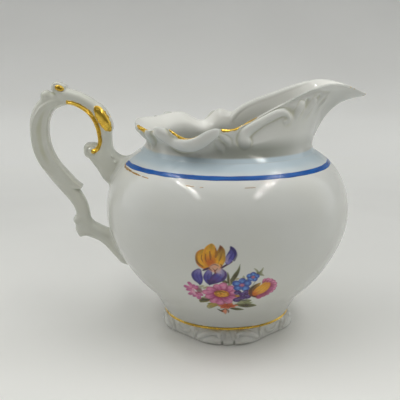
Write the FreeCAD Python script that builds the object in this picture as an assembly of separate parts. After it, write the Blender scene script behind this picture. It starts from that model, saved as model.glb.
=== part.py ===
import FreeCAD, Part
import math
import os

# Porcelain cream jug: a round bowl on a lobed foot ring, a relief neck with a wavy rim that sweeps up
# into the spout, a scroll handle set on with slip, and fired-on colour, gilding and flower transfers.
#
# Millimetres.  The origin is the centre of the foot ring's resting face, on the bowl's axis.  +X points
# to the spout, the handle is at -X, and +Z is up.  The jug is symmetrical about the XZ plane.

Vector = FreeCAD.Vector
UP = Vector(0, 0, 1)
ORIGIN = Vector(0, 0, 0)
FULL_TURN = 2 * math.pi

# --- Driving dimensions ---------------------------------------------------------------------------
FOOT_TOP = 5.5              # height where the bowl stands on the foot ring
NECK_BASE = 70.2            # height of the crease between the bowl and the neck
BASE_RADIUS = 31.4          # bowl and neck radius at that crease
WALL = 2.2                  # wall of the bowl and of the neck's base
LIP_WALL = 1.7              # wall just under the rim
FLOOR_TOP = 8.5             # inside floor of the bowl

# Outside of the bowl: radius and height, from the foot to the neck
BOWL_PROFILE = [(23.6, FOOT_TOP), (28.6, 14.0), (34.2, 20.0), (39.4, 27.0), (43.5, 35.0), (45.9, 43.5),
                (45.7, 51.5), (44.1, 57.0), (41.4, 62.0), (37.4, 66.2), (BASE_RADIUS, NECK_BASE)]

# Foot ring
FOOT_RADIUS = 24.3          # mean outside radius at the table
FOOT_LOBE = 1.5             # how far the four lobes stand out and in
FOOT_TOP_RADIUS = 23.9
FOOT_INNER_RADIUS = 20.0
FOOT_COLUMNS = 48

# Rim, from the tip of the spout round one side to the handle: x, half width, height of the lip's crest
RIM = [(51.4, 0.0, 89.9), (46.0, 4.1, 92.4), (41.0, 8.0, 94.0), (36.0, 11.4, 94.5), (30.0, 15.3, 93.2),
       (20.0, 20.8, 89.5), (10.0, 25.6, 85.0), (4.0, 28.0, 82.0), (0.0, 30.0, 80.8), (-5.0, 32.0, 81.1),
       (-9.5, 32.6, 79.6), (-14.0, 31.2, 77.8), (-18.5, 27.8, 78.8), (-22.5, 24.8, 80.4),
       (-27.0, 20.5, 79.0), (-31.0, 15.0, 79.4), (-34.0, 6.5, 80.0), (-34.5, 0.0, 80.0)]
NECK_COLUMNS = 120
NECK_WAIST = 1.6            # how far the neck draws in between its base and the rim

# Handle: x, z, thickness across the strap, depth along Y
STRAP = [(-38.5, 60.0, 15.0, 11.5), (-43.0, 63.0, 12.5, 10.5), (-46.0, 67.0, 8.4, 9.5),
         (-46.6, 71.0, 6.2, 8.8), (-46.3, 75.5, 5.6, 8.4), (-47.4, 80.5, 5.9, 8.4),
         (-50.2, 84.4, 5.9, 8.4), (-54.6, 87.2, 5.5, 8.4), (-59.6, 88.6, 5.2, 8.4),
         (-64.6, 87.9, 6.0, 8.4), (-68.4, 85.3, 6.8, 8.4), (-70.7, 81.0, 6.9, 8.4),
         (-71.3, 76.0, 7.0, 8.4), (-70.8, 71.4, 7.0, 8.4), (-69.3, 67.0, 6.9, 8.4),
         (-67.0, 62.8, 6.9, 8.3), (-64.0, 58.6, 7.0, 8.2), (-60.8, 54.6, 6.9, 8.0),
         (-57.9, 50.6, 6.2, 7.8), (-56.1, 46.4, 5.5, 7.6), (-55.7, 42.2, 5.8, 7.8)]
BRACKET = [(-57.4, 39.6, 5.4, 8.0), (-54.2, 38.0, 5.8, 8.2), (-50.4, 36.9, 5.6, 8.4),
           (-46.8, 35.4, 6.0, 8.8), (-43.4, 33.2, 8.0, 9.6), (-39.6, 30.4, 10.0, 10.4)]
SECTION_COLUMNS = 12
# Rounded lumps on the handle: centre x and z, half sizes along X, Y and Z
CURL = (-51.6, 69.0, 3.4, 4.6, 3.2)
CURL_HUB = (-49.0, 68.6, 3.6, 4.2, 3.4)
THUMB_SCROLL = (-64.2, 91.6, 3.6, 3.9, 2.8)
THUMB_TAIL = (-68.4, 89.0, 3.0, 3.6, 2.6)
KNUCKLE = (-57.4, 40.4, 3.2, 4.2, 3.0)
LEAF_TIP = (-58.2, 55.4, 3.4, 4.4, 2.2)
SLIP_THICKNESS = 0.6        # slip layer between the handle and the bowl
SLIP_FLANGE = 0.9           # how far the slip stands out round the handle's roots
ROOT_LENGTH = 4             # stations of a tube that count as its root

# Fired-on colour, gilding and transfers
FILM = 0.09                 # thickness of every fired-on layer
FILM_GAP = 0.01             # clearance that keeps a layer from cutting into the glaze under it
BLUE_LINE = (64.9, 66.1)    # lower and upper edge
PALE_BAND = (66.2, 69.9)
SHOULDER_GOLD = (62.3, 63.0)
FOOT_GOLD = (5.7, 6.6)
HANDLE_CLEARANCE = 10.5     # degrees either side of the handle where the shoulder's bands stop
# What is left of the worn line below the blue one, in degrees round the bowl
WORN_ARCS = [(-169, -134), (-112, -104), (-97, -90), (-84, -78), (40, 76), (118, 169)]
# Gilding left on one side of the rim: from and to, in degrees from the spout, and width on the lip
RIM_GILDING = [(152, 171, 0.9), (139, 144, 0.5), (110, 131, 0.9), (73, 99, 0.6), (12, 17, 0.4)]
TIP_GILDING = 0.8           # half length of the speck at the tip of the spout, in columns of the neck
# Handle gilding: from and to along the strap's stations, and from and to round its section
INNER_LINE = (2.2, 7.3, 6.05, 7.0)
GOLD_LEAF = (3.0, 5.2, 8.1, 10.2)
# Gold eye on the thumb scroll: from and to along X and Z, as shares of the scroll's half sizes
SCROLL_EYE = (-0.1, 0.75, 0.05, 0.6)
# Flower transfer: degrees round the bowl from its middle, lowest and highest point there
TRANSFER = [(-25, 25.5, 28.0), (-18, 20.0, 33.0), (-11, 16.0, 44.5), (-3, 13.8, 45.2), (5, 16.5, 38.0),
            (14, 19.5, 33.5), (23, 24.5, 28.0)]
TRANSFER_SIDES = {"flower_transfer_front": -90.5, "flower_transfer_back": 89.5}


# --- Small helpers --------------------------------------------------------------------------------
def in_plane(radius, height):
    return Vector(radius, 0, height)


def turned(radius, angle, height):
    return Vector(radius * math.cos(angle), radius * math.sin(angle), height)


def save(name, *solids):
    shape = solids[0] if len(solids) == 1 else Part.makeCompound(list(solids))
    shape.exportStep(os.path.join("parts", name + ".step"))
    print(f"{name}: {len(shape.Solids)} solid(s), {shape.Volume:.2f} mm3, valid {shape.isValid()}")


def spline(points):
    curve = Part.BSplineCurve()
    curve.interpolate(points)
    return curve


def line(start, end):
    return Part.makeLine(start, end)


def revolved(edges, start=0, end=360):
    """A closed outline in the XZ plane turned about the jug's axis, between two angles in degrees."""
    solid = Part.Face(Part.Wire(edges)).revolve(ORIGIN, UP, end - start)
    solid.rotate(ORIGIN, UP, start)
    return solid


def solid_of(faces):
    """A closed solid sewn from faces that meet along their edges."""
    shell = Part.makeShell(faces)
    shell.sewShape()
    solid = Part.makeSolid(Part.Shell(shell.Faces))
    if solid.Volume < 0:
        solid.reverse()
    return solid


def tube_surface(rows):
    """A smooth surface that is closed round each row of poles and runs from the first row to the last."""
    degree = 3
    columns = len(rows[0])
    spans = len(rows) - degree
    poles = [[row[i] for row in rows] for i in range(columns)]
    end = [degree + 1]
    surface = Part.BSplineSurface()
    surface.buildFromPolesMultsKnots(poles, [1] * (columns + 1), end + [1] * (spans - 1) + end,
                                     list(range(columns + 1)), list(range(spans + 1)),
                                     True, False, degree, degree)
    return surface


def end_loops(face):
    """The closed edges of a tube's face, without its seam."""
    return [edge for edge in face.Edges if edge.isClosed()]


def capped_tube(rows):
    """A solid round a tube surface whose two end rows are flat."""
    face = tube_surface(rows).toShape()
    caps = [Part.Face(Part.Wire([edge])) for edge in end_loops(face)]
    return solid_of([face] + caps)


def ellipsoid(lump):
    x, z, half_x, half_y, half_z = lump
    matrix = FreeCAD.Matrix()
    matrix.scale(half_x, half_y, half_z)
    matrix.move(Vector(x, 0, z))
    return Part.makeSphere(1.0).transformGeometry(matrix)


def skin(locate, span, band, steps, lift):
    """A surface laid over part of another one, and lifted off it.  locate(along, across) gives a point
    and its normal; band(share) gives the patch's two edges at that share of its length."""
    grid = []
    for i in range(steps[0] + 1):
        share = i / steps[0]
        low, high = band(share)
        row = []
        for j in range(steps[1] + 1):
            point, normal = locate(span[0] + (span[1] - span[0]) * share, low + (high - low) * j / steps[1])
            row.append(point + normal * lift)
        grid.append(row)
    surface = Part.BSplineSurface()
    surface.interpolate(grid)
    return surface


def film_patch(locate, span, band, steps=(12, 3)):
    """A thin fired-on layer between two skins."""
    inner = skin(locate, span, band, steps, FILM_GAP)
    outer = skin(locate, span, band, steps, FILM_GAP + FILM)
    faces = [inner.toShape(), outer.toShape()]
    first_u, last_u, first_v, last_v = inner.bounds()
    for u in (first_u, last_u):
        faces.append(Part.makeRuledSurface(inner.uIso(u).toShape(), outer.uIso(u).toShape()))
    for v in (first_v, last_v):
        faces.append(Part.makeRuledSurface(inner.vIso(v).toShape(), outer.vIso(v).toShape()))
    return solid_of(faces)


def tapered(low, high, end=0.3):
    """Edges of a brushed stroke that narrows to a fraction of its width at both ends."""
    middle = (low + high) / 2
    half = (high - low) / 2

    def band(share):
        width = half * (end + (1 - end) * math.sin(math.pi * share))
        return middle - width, middle + width
    return band


# --- Bowl -----------------------------------------------------------------------------------------
BOWL_CURVE = spline([in_plane(r, z) for r, z in BOWL_PROFILE])


def bowl_parameter(height):
    low, high = BOWL_CURVE.FirstParameter, BOWL_CURVE.LastParameter
    for _ in range(40):
        middle = (low + high) / 2
        if BOWL_CURVE.value(middle).z < height:
            low = middle
        else:
            high = middle
    return (low + high) / 2


def bowl_offset_points(distance, heights):
    """Points of the bowl's profile moved outwards along its normal."""
    points = []
    for height in heights:
        parameter = bowl_parameter(height)
        along = BOWL_CURVE.tangent(parameter)[0]
        points.append(BOWL_CURVE.value(parameter) + Vector(along.z, 0, -along.x) * distance)
    return points


def bowl_solid():
    inner_heights = [14.0, 20.0, 27.0, 35.0, 43.5, 51.5, 57.0, 62.0, 66.2]
    floor_edge = in_plane(21.0, FLOOR_TOP)
    seat_inner = in_plane(BASE_RADIUS - WALL, NECK_BASE)
    seat_outer = in_plane(BASE_RADIUS, NECK_BASE)
    inner = spline([seat_inner] + bowl_offset_points(-WALL, reversed(inner_heights)) + [floor_edge])
    base = in_plane(BOWL_PROFILE[0][0], FOOT_TOP)
    edges = [BOWL_CURVE.toShape(), line(seat_outer, seat_inner), inner.toShape(),
             line(floor_edge, in_plane(0, FLOOR_TOP)), line(in_plane(0, FLOOR_TOP), in_plane(0, FOOT_TOP)),
             line(in_plane(0, FOOT_TOP), base)]
    return revolved(edges)


def bowl_block(distance=0.0):
    """The bowl's outside as a filled block, grown by distance: it trims what is set on the bowl."""
    if distance:
        curve = spline(bowl_offset_points(distance, [z for _, z in BOWL_PROFILE]))
    else:
        curve = BOWL_CURVE
    low = curve.value(curve.FirstParameter)
    high = curve.value(curve.LastParameter)
    edges = [curve.toShape(), line(high, in_plane(0, high.z)), line(in_plane(0, high.z), in_plane(0, low.z)),
             line(in_plane(0, low.z), low)]
    return revolved(edges)


def bowl_band(low, high, start=0, end=360):
    """A fired-on band round the bowl between two heights and two angles in degrees."""
    curve = BOWL_CURVE.copy()
    curve.segment(bowl_parameter(low), bowl_parameter(high))
    heights = [low, (low + high) / 2, high]
    outer = spline(bowl_offset_points(FILM, heights))
    edges = [curve.toShape(), line(curve.value(curve.LastParameter), outer.value(outer.LastParameter)),
             outer.toShape(), line(outer.value(outer.FirstParameter), curve.value(curve.FirstParameter))]
    return revolved(edges, start, end)


def on_bowl(angle, height):
    """Point and outward normal of the bowl, for film_patch."""
    parameter = bowl_parameter(height)
    point = BOWL_CURVE.value(parameter)
    along = BOWL_CURVE.tangent(parameter)[0]
    return turned(point.x, angle, point.z), turned(along.z, angle, -along.x)


def flower_transfer(middle):
    """The printed bouquet's outline, laid on the bowl round an angle in degrees."""
    low_edge = spline([Vector(degrees, low, 0) for degrees, low, _ in TRANSFER])
    high_edge = spline([Vector(degrees, high, 0) for degrees, _, high in TRANSFER])

    def band(share):
        edges = []
        for edge in (low_edge, high_edge):
            first, last = edge.FirstParameter, edge.LastParameter
            edges.append(edge.value(first + (last - first) * share).y)
        return edges

    span = (math.radians(middle + TRANSFER[0][0]), math.radians(middle + TRANSFER[-1][0]))
    return film_patch(on_bowl, span, band, steps=(16, 8))


# --- Foot ring ------------------------------------------------------------------------------------
def foot_loop(radius, lobe, height):
    loop = []
    for i in range(FOOT_COLUMNS):
        angle = FULL_TURN * i / FOOT_COLUMNS
        loop.append(turned(radius + lobe * math.cos(4 * angle), angle, height))
    return loop


def foot_ring():
    """Four lobes at the table, round where it meets the bowl, hollow underneath."""
    rows = [foot_loop(FOOT_TOP_RADIUS, 0.1, FOOT_TOP), foot_loop(FOOT_TOP_RADIUS + 0.2, 0.3, 4.6),
            foot_loop(FOOT_RADIUS, FOOT_LOBE, 3.0), foot_loop(FOOT_RADIUS + 0.2, FOOT_LOBE, 1.2),
            foot_loop(FOOT_RADIUS - 0.3, FOOT_LOBE, 0.0)]
    wall = tube_surface(rows).toShape()
    loops = sorted(end_loops(wall), key=lambda edge: edge.BoundBox.ZMin)
    core = Part.makeCylinder(FOOT_INNER_RADIUS, FOOT_TOP)
    solid = solid_of([wall] + [Part.Face(Part.Wire([edge])) for edge in loops])
    return solid.cut(core)


# --- Neck and spout -------------------------------------------------------------------------------
def rim_curve():
    near = [Vector(x, -half, z) for x, half, z in RIM]
    far = [Vector(x, half, z) for x, half, z in reversed(RIM[1:-1])]
    curve = Part.BSplineCurve()
    curve.interpolate(Points=near + far, PeriodicFlag=True)
    return curve


def mixed(plain, spout, share):
    """A value that is plain round the neck and spout at the spout's tip."""
    return plain + (spout - plain) * share


def neck_meridian(crest):
    """Poles from the outside of the neck's base, over the lip, to the inside of the base."""
    angle = math.atan2(crest.y, crest.x)
    spout = max(0.0, math.cos(angle)) ** 4
    reach = math.hypot(crest.x, crest.y)
    flare = reach - BASE_RADIUS
    rise = crest.z - NECK_BASE
    base = Vector(BASE_RADIUS, 0, 0)
    waist = Vector(BASE_RADIUS + mixed(-NECK_WAIST, 0.1 * flare, spout), 0, 0.36 * rise)
    throat = Vector(BASE_RADIUS + mixed(0.8 * flare - NECK_WAIST / 2, 0.42 * flare, spout), 0,
                    mixed(0.7, 0.885, spout) * rise)
    edge = Vector(reach + mixed(LIP_WALL / 2, -0.8, spout), 0, rise - mixed(1.5, 1.0, spout))
    crest_pole = Vector(reach + 0.6 * spout, 0, rise + mixed(0.4, 0.0, spout))
    inner = [inwards(edge, throat, edge, LIP_WALL), inwards(throat, waist, edge, LIP_WALL),
             inwards(waist, base, throat, WALL), Vector(BASE_RADIUS - WALL, 0, 0)]
    poles = [base, waist, throat, edge, crest_pole] + inner
    return [turned(pole.x, angle, NECK_BASE + pole.z) for pole in poles]


def inwards(pole, before, after, distance):
    """The pole moved into the jug, square to the line between its neighbours."""
    along = (after - before).normalize()
    return pole + Vector(-along.z, 0, along.x) * distance


def neck_surface():
    curve = rim_curve()
    span = curve.LastParameter - curve.FirstParameter
    columns = []
    for i in range(NECK_COLUMNS):
        columns.append(neck_meridian(curve.value(curve.FirstParameter + span * i / NECK_COLUMNS)))
    return tube_surface([[column[j] for column in columns] for j in range(len(columns[0]))])


def neck_and_spout(surface):
    face = surface.toShape()
    loops = sorted(end_loops(face), key=lambda edge: -edge.Length)
    seat = Part.Face([Part.Wire([edge]) for edge in loops])
    seat.validate()
    return solid_of([face, seat])


# --- Handle ---------------------------------------------------------------------------------------
def tube_rows(stations, grow=0.0):
    """Rounded sections square to a path in the XZ plane."""
    fill = 3 / (2 + math.cos(FULL_TURN / SECTION_COLUMNS))
    rows = []
    for i, (x, z, thickness, depth) in enumerate(stations):
        before = stations[max(i - 1, 0)]
        after = stations[min(i + 1, len(stations) - 1)]
        along = Vector(after[0] - before[0], 0, after[1] - before[1]).normalize()
        across = Vector(along.z, 0, -along.x)
        row = []
        for k in range(SECTION_COLUMNS):
            angle = FULL_TURN * k / SECTION_COLUMNS
            row.append(Vector(x, 0, z) + across * ((thickness / 2 + grow) * fill * math.cos(angle))
                       + Vector(0, (depth / 2 + grow) * fill * math.sin(angle), 0))
        rows.append(row)
    return rows


def raw_handle():
    strap = capped_tube(tube_rows(STRAP))
    bracket = capped_tube(tube_rows(BRACKET))
    lumps = [ellipsoid(lump) for lump in (CURL, CURL_HUB, THUMB_SCROLL, THUMB_TAIL, KNUCKLE, LEAF_TIP)]
    return strap.fuse([bracket] + lumps)


def slip_joint(stations, grown_block, block):
    """The slip squeezed out between a root of the handle and the bowl."""
    flange = capped_tube(tube_rows(stations, SLIP_FLANGE))
    return flange.common(grown_block).cut(block)


# --- Gilding --------------------------------------------------------------------------------------
NECK_CREST = 3.0            # parameter of the lip's crest, from the outside of the neck to the inside


def neck_column(surface, degrees):
    """Parameter round the neck where the lip stands at an angle from the spout."""
    low, high = neck_tip(surface), neck_tip(surface) + NECK_COLUMNS / 2
    for _ in range(40):
        middle = (low + high) / 2
        point = surface.value(middle % NECK_COLUMNS, NECK_CREST)
        if math.degrees(math.atan2(abs(point.y), point.x)) < degrees:
            low = middle
        else:
            high = middle
    return (low + high) / 2


def neck_tip(surface):
    """Parameter round the neck at the tip of the spout."""
    steps = [i / 10 for i in range(NECK_COLUMNS * 10)]
    return max(steps, key=lambda u: surface.value(u, NECK_CREST).x)


def rim_gilding(surface):
    """Brushed patches on the lip, alike on both sides, and a speck at the tip of the spout."""
    def on_neck(u, v):
        inside = u % NECK_COLUMNS
        return surface.value(inside, v), -surface.normal(inside, v)

    tip = neck_tip(surface)
    patches = [film_patch(on_neck, (tip - TIP_GILDING, tip + TIP_GILDING), tapered(2.7, 3.1))]
    for start, end, width in RIM_GILDING:
        first = neck_column(surface, start) - tip
        last = neck_column(surface, end) - tip
        band = tapered(NECK_CREST - width, NECK_CREST + 0.1)
        patches.append(film_patch(on_neck, (tip + first, tip + last), band))
        patches.append(film_patch(on_neck, (tip - last, tip - first), band))
    return patches


def strap_gilding(surface, stroke):
    """A brushed stroke along the strap on its near side, and its mirror image."""
    def on_strap(along, across):
        return surface.value(across, along), surface.normal(across, along)

    start, end, low, high = stroke
    mirror = SECTION_COLUMNS - 2
    near = film_patch(on_strap, (start, end), tapered(low, high))
    far = film_patch(on_strap, (start, end), tapered(mirror - high, mirror - low))
    return near, far


def scroll_eye(side):
    """The gold eye on one side of the thumb scroll; side is -1 or 1."""
    x, z, half_x, half_y, half_z = THUMB_SCROLL
    start, end, low, high = SCROLL_EYE

    def on_scroll(along, across):
        facing = side * math.sqrt(1 - along ** 2 - across ** 2)
        point = Vector(x + half_x * along, half_y * facing, z + half_z * across)
        normal = Vector(along / half_x, facing / half_y, across / half_z)
        return point, normal.normalize()

    return film_patch(on_scroll, (start, end), tapered(low, high))


def main():
    os.makedirs("parts", exist_ok=True)
    block = bowl_block()
    slip_block = bowl_block(SLIP_THICKNESS)
    neck = neck_surface()
    strap = tube_surface(tube_rows(STRAP))
    shoulder = (HANDLE_CLEARANCE - 180, 180 - HANDLE_CLEARANCE)

    save("body_bowl", bowl_solid())
    save("foot_ring", foot_ring())
    save("neck_and_spout", neck_and_spout(neck))
    save("handle", raw_handle().cut(slip_block))
    save("upper_handle_joint", slip_joint(STRAP[:ROOT_LENGTH], slip_block, block))
    save("lower_handle_joint", slip_joint(BRACKET[-ROOT_LENGTH:], slip_block, block))
    save("blue_shoulder_line", bowl_band(*BLUE_LINE, *shoulder))
    save("pale_blue_shoulder_band", bowl_band(*PALE_BAND, *shoulder))
    save("shoulder_gold_line", *[bowl_band(*SHOULDER_GOLD, *arc) for arc in WORN_ARCS])
    save("foot_gold_line", bowl_band(*FOOT_GOLD))
    save("rim_gilding", *rim_gilding(neck))
    save("handle_inner_gold_line", *strap_gilding(strap, INNER_LINE))
    save("handle_gold_leaf", *strap_gilding(strap, GOLD_LEAF))
    save("thumb_scroll_gold_eye", scroll_eye(-1), scroll_eye(1))
    for name, middle in TRANSFER_SIDES.items():
        save(name, flower_transfer(middle))


main()
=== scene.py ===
import math

import bpy
import numpy as np
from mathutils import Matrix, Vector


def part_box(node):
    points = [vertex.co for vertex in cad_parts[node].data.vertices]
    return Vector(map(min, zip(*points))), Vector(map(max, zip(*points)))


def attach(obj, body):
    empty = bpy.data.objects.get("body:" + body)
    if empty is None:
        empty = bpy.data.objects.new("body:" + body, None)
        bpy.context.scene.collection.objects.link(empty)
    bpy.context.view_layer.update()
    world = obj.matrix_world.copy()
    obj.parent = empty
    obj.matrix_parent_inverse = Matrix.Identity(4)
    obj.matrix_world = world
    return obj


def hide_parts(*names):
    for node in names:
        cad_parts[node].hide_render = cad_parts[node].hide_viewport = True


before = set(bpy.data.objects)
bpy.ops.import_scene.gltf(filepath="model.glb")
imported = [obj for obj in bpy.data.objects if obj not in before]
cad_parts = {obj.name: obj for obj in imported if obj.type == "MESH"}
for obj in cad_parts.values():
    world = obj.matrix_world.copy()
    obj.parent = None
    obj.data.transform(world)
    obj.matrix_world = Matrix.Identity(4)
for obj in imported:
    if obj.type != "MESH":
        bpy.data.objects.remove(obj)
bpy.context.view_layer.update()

import openvdb

# The porcelain cream jug's visual model.  Shapes are worked out in millimetres in the jug's own frame
# (+X to the spout, handle at -X, +Z up, origin under the foot) and turned into metres as meshes are made.
# Sizes that aren't marked otherwise are millimetres, and angles are degrees round +Z from the spout.
MM = 0.001
BODY = "root"


def node_box(node):
    """A CAD node's lowest and highest corner, in millimetres."""
    low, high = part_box(node)
    return np.array(low) / MM, np.array(high) / MM


HANDLE_LOW, HANDLE_HIGH = node_box("handle")
NECK_BASE = node_box("neck_and_spout")[0][2]
FOOT_TOP = node_box("foot_ring")[1][2]
BASE_RADIUS = 31.4    # the neck's outside where it stands on the bowl
WALL = 2.2
LIP_WALL = 1.7        # the wall just under the rim
FINE_STEPS = 40       # samples of a curve for each of its points, before it's spaced evenly
FILM_SINK = 0.02      # how far a film's underside is let into what it lies on
FILM_EDGE = 0.15      # the share of its thickness that a film keeps at its edge
GOLD_LIFT, WORN_LIFT, ENAMEL_LIFT, PALE_LIFT, PRINT_LIFT = 0.05, 0.08, 0.06, 0.03, 0.03


# --- Curves, grids and meshes -----------------------------------------------------------------------
def cubic(knots, values, closed=False):
    """Cubic spline through values at rising knots: natural at its ends, or closed on itself."""
    k = np.asarray(knots, float)
    v = np.asarray(values, float).reshape(len(k), -1)
    h = np.diff(k)
    slope = np.diff(v, axis=0) / h[:, None]
    matrix = np.zeros((len(k), len(k)))
    right = np.zeros_like(v)
    for i in range(1, len(k) - 1):
        matrix[i, i - 1:i + 2] = h[i - 1], 2 * (h[i - 1] + h[i]), h[i]
        right[i] = 6 * (slope[i] - slope[i - 1])
    matrix[0, 0] = matrix[-1, -1] = 1
    if closed:
        matrix[0, -1] = -1
        matrix[-1, :2] = 2 * h[0], h[0]
        matrix[-1, -2:] = h[-1], 2 * h[-1]
        right[-1] = 6 * (slope[0] - slope[-1])
    bend = np.linalg.solve(matrix, right)

    def at(x):
        x = np.asarray(x, float)
        i = np.clip(np.searchsorted(k, x) - 1, 0, len(k) - 2)
        step = h[i][..., None]
        after = (x - k[i])[..., None]
        before = (k[i + 1] - x)[..., None]
        return ((bend[i] * before ** 3 + bend[i + 1] * after ** 3) / (6 * step)
                + (v[i] / step - bend[i] * step / 6) * before
                + (v[i + 1] / step - bend[i + 1] * step / 6) * after)
    return at


def path(points, count, closed=False, place=3):
    """Evenly spaced samples of a smooth curve through points, and their distances along it.  The first
    columns, up to place of them, are where the curve is; the rest are carried along."""
    points = np.asarray(points, float)
    if closed:
        points = np.vstack([points, points[:1]])
    where = points[:, :min(place, points.shape[1])]
    knots = np.concatenate([[0], np.cumsum(np.linalg.norm(np.diff(where, axis=0), axis=1))])
    fine = cubic(knots, points, closed)(np.linspace(0, knots[-1], FINE_STEPS * len(points)))
    steps = np.linalg.norm(np.diff(fine[:, :where.shape[1]], axis=0), axis=1)
    run = np.concatenate([[0], np.cumsum(steps)])
    at = np.linspace(0, run[-1], count)
    return np.stack([np.interp(at, run, column) for column in fine.T], axis=1), at


def smoothstep(low, high, x):
    """0 before low and 1 past high, with a soft rise between; falls where low is the larger."""
    t = np.clip((x - low) / (high - low), 0, 1)
    return t * t * (3 - 2 * t)


def turned(radius, angle, height):
    """Points at a radius and an angle (radians) round the jug's axis."""
    return np.stack(np.broadcast_arrays(radius * np.cos(angle), radius * np.sin(angle), height), axis=-1)


def basis(at, poles):
    """Clamped uniform cubic B-spline weights, one row for each parameter."""
    degree = 3
    spans = poles - degree
    knots = np.concatenate([[0] * degree, np.arange(spans + 1), [spans] * degree]).astype(float)
    at = np.minimum(np.asarray(at, float), spans - 1e-9)
    weights = ((knots[None, :-1] <= at[:, None]) & (at[:, None] < knots[None, 1:])).astype(float)
    for d in range(1, degree + 1):
        new = np.zeros((len(at), weights.shape[1] - 1))
        for i in range(new.shape[1]):
            if knots[i + d] > knots[i]:
                new[:, i] += (at - knots[i]) / (knots[i + d] - knots[i]) * weights[:, i]
            if knots[i + d + 1] > knots[i + 1]:
                new[:, i] += (knots[i + d + 1] - at) / (knots[i + d + 1] - knots[i + 1]) * weights[:, i + 1]
        weights = new
    return weights


def closest(gaps):
    """For arrays of gaps given one after another: the smallest at each place, and which of them it was."""
    best, which = None, None
    for i, gap in enumerate(gaps):
        if best is None:
            best, which = gap, np.zeros(gap.shape, int)
            continue
        closer = gap < best
        best[closer] = gap[closer]
        which[closer] = i
    return best, which


def neighbours(values, wrap=False):
    """The sum of each grid value's four neighbours.  A grid can close on itself along its rows."""
    sideways = np.pad(values, ((0, 0), (1, 1)), mode="wrap" if wrap else "edge")
    padded = np.pad(sideways, ((1, 1), (0, 0)), mode="edge")
    return padded[2:, 1:-1] + padded[:-2, 1:-1] + padded[1:-1, 2:] + padded[1:-1, :-2]


def tilted(x, z, middle, tilt):
    """Where points are from a middle, along and across a direction tilted by some degrees."""
    cos, sin = math.cos(math.radians(tilt)), math.sin(math.radians(tilt))
    dx, dz = x - middle[0], z - middle[1]
    return dx * cos + dz * sin, dz * cos - dx * sin


def oval_share(x, z, middle, halves, tilt):
    """1 on a tilted oval's outline, less inside it."""
    along, across = tilted(x, z, middle, tilt)
    return np.hypot(along / halves[0], across / halves[1])


def unit(vectors):
    """Each vector at length one."""
    return vectors / np.maximum(np.linalg.norm(vectors, axis=-1, keepdims=True), 1e-12)


def grid_normals(grid):
    """Unit normals, pointing out, of a (rows, columns, 3) grid whose columns close on themselves."""
    across = np.roll(grid, -1, axis=1) - np.roll(grid, 1, axis=1)
    return unit(np.cross(across, np.gradient(grid, axis=0)))


def grid_faces(rows, columns, closed_columns=True, closed_rows=False):
    """Quads of a grid, row by row."""
    last_row = rows if closed_rows else rows - 1
    last_column = columns if closed_columns else columns - 1
    r, c = np.meshgrid(np.arange(last_row), np.arange(last_column), indexing="ij")
    r2 = (r + 1) % rows
    c2 = (c + 1) % columns
    quads = np.stack([r * columns + c, r * columns + c2, r2 * columns + c2, r2 * columns + c], axis=-1)
    return quads.reshape(-1, 4)


def triangles_of(quads):
    return np.vstack([quads[:, [0, 1, 2]], quads[:, [0, 2, 3]]])


def vertex_normals(points, triangles):
    a, b, c = (points[triangles[:, i]] for i in range(3))
    face = np.cross(b - a, c - a)
    total = np.zeros_like(points)
    for i in range(3):
        np.add.at(total, triangles[:, i], face)
    return unit(total)


def make_mesh(name, points, faces, paint=None, pool=None):
    """A smooth-shaded mesh object from millimetre points and triangle or quad rows, with a colour and its
    cover (Paint) or a share (Pool) of pooled glaze with painted shade, or of clean glaze painted lighter, on
    each vertex."""
    faces = np.asarray(faces, np.int32)
    corners = faces.shape[1]
    mesh = bpy.data.meshes.new(name)
    mesh.vertices.add(len(points))
    mesh.vertices.foreach_set("co", (np.asarray(points, np.float32) * MM).ravel())
    mesh.loops.add(faces.size)
    mesh.loops.foreach_set("vertex_index", faces.ravel())
    mesh.polygons.add(len(faces))
    mesh.polygons.foreach_set("loop_start", np.arange(0, faces.size, corners, dtype=np.int32))
    mesh.update(calc_edges=True)
    mesh.validate()
    mesh.shade_smooth()
    if paint is not None:
        layer = mesh.color_attributes.new("Paint", "FLOAT_COLOR", "POINT")
        layer.data.foreach_set("color", np.asarray(paint, np.float32).ravel())
    if pool is not None:
        layer = mesh.attributes.new("Pool", "FLOAT", "POINT")
        layer.data.foreach_set("value", np.asarray(pool, np.float32).ravel())
    obj = bpy.data.objects.new(name, mesh)
    bpy.context.scene.collection.objects.link(obj)
    return obj


def finish_piece(obj, material, node):
    """Gives a piece its material, hangs it under the jug's body and hides the CAD node it stands in for."""
    obj.data.materials.append(material)
    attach(obj, BODY)
    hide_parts(node)
    return obj


def clip(points, triangles, field):
    """The part of a triangle mesh where field is above zero, cut cleanly along its zero line: its points,
    its triangles, and for each point the two old points it lies between and its share of the second."""
    keep = field > 0
    count = keep[triangles].sum(axis=1)
    pairs = [(i, i, 0.0) for i in range(len(points))]
    kept = [tuple(tri) for tri in triangles[count == 3]]
    found = {}

    def crossing(a, b):
        key = (a, b) if a < b else (b, a)
        if key not in found:
            found[key] = len(pairs)
            pairs.append((key[0], key[1], field[key[0]] / (field[key[0]] - field[key[1]])))
        return found[key]

    for tri in triangles[(count == 1) | (count == 2)]:
        inside = [bool(keep[i]) for i in tri]
        lone = inside.index(sum(inside) == 1)
        a, b, c = int(tri[lone]), int(tri[(lone + 1) % 3]), int(tri[(lone + 2) % 3])
        ab, ac = crossing(a, b), crossing(a, c)
        if sum(inside) == 1:
            kept.append((a, ab, ac))
        else:
            kept += [(ab, b, c), (ab, c, ac)]
    kept = np.array(kept, np.int64).reshape(-1, 3)
    used, packed = np.unique(kept, return_inverse=True)
    pairs = np.array(pairs)[used]
    first, second = pairs[:, 0].astype(int), pairs[:, 1].astype(int)

    def carry(values):
        share = pairs[:, 2].reshape((-1,) + (1,) * (values.ndim - 1))
        return values[first] + (values[second] - values[first]) * share

    return carry(points), packed.reshape(-1, 3), carry


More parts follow.
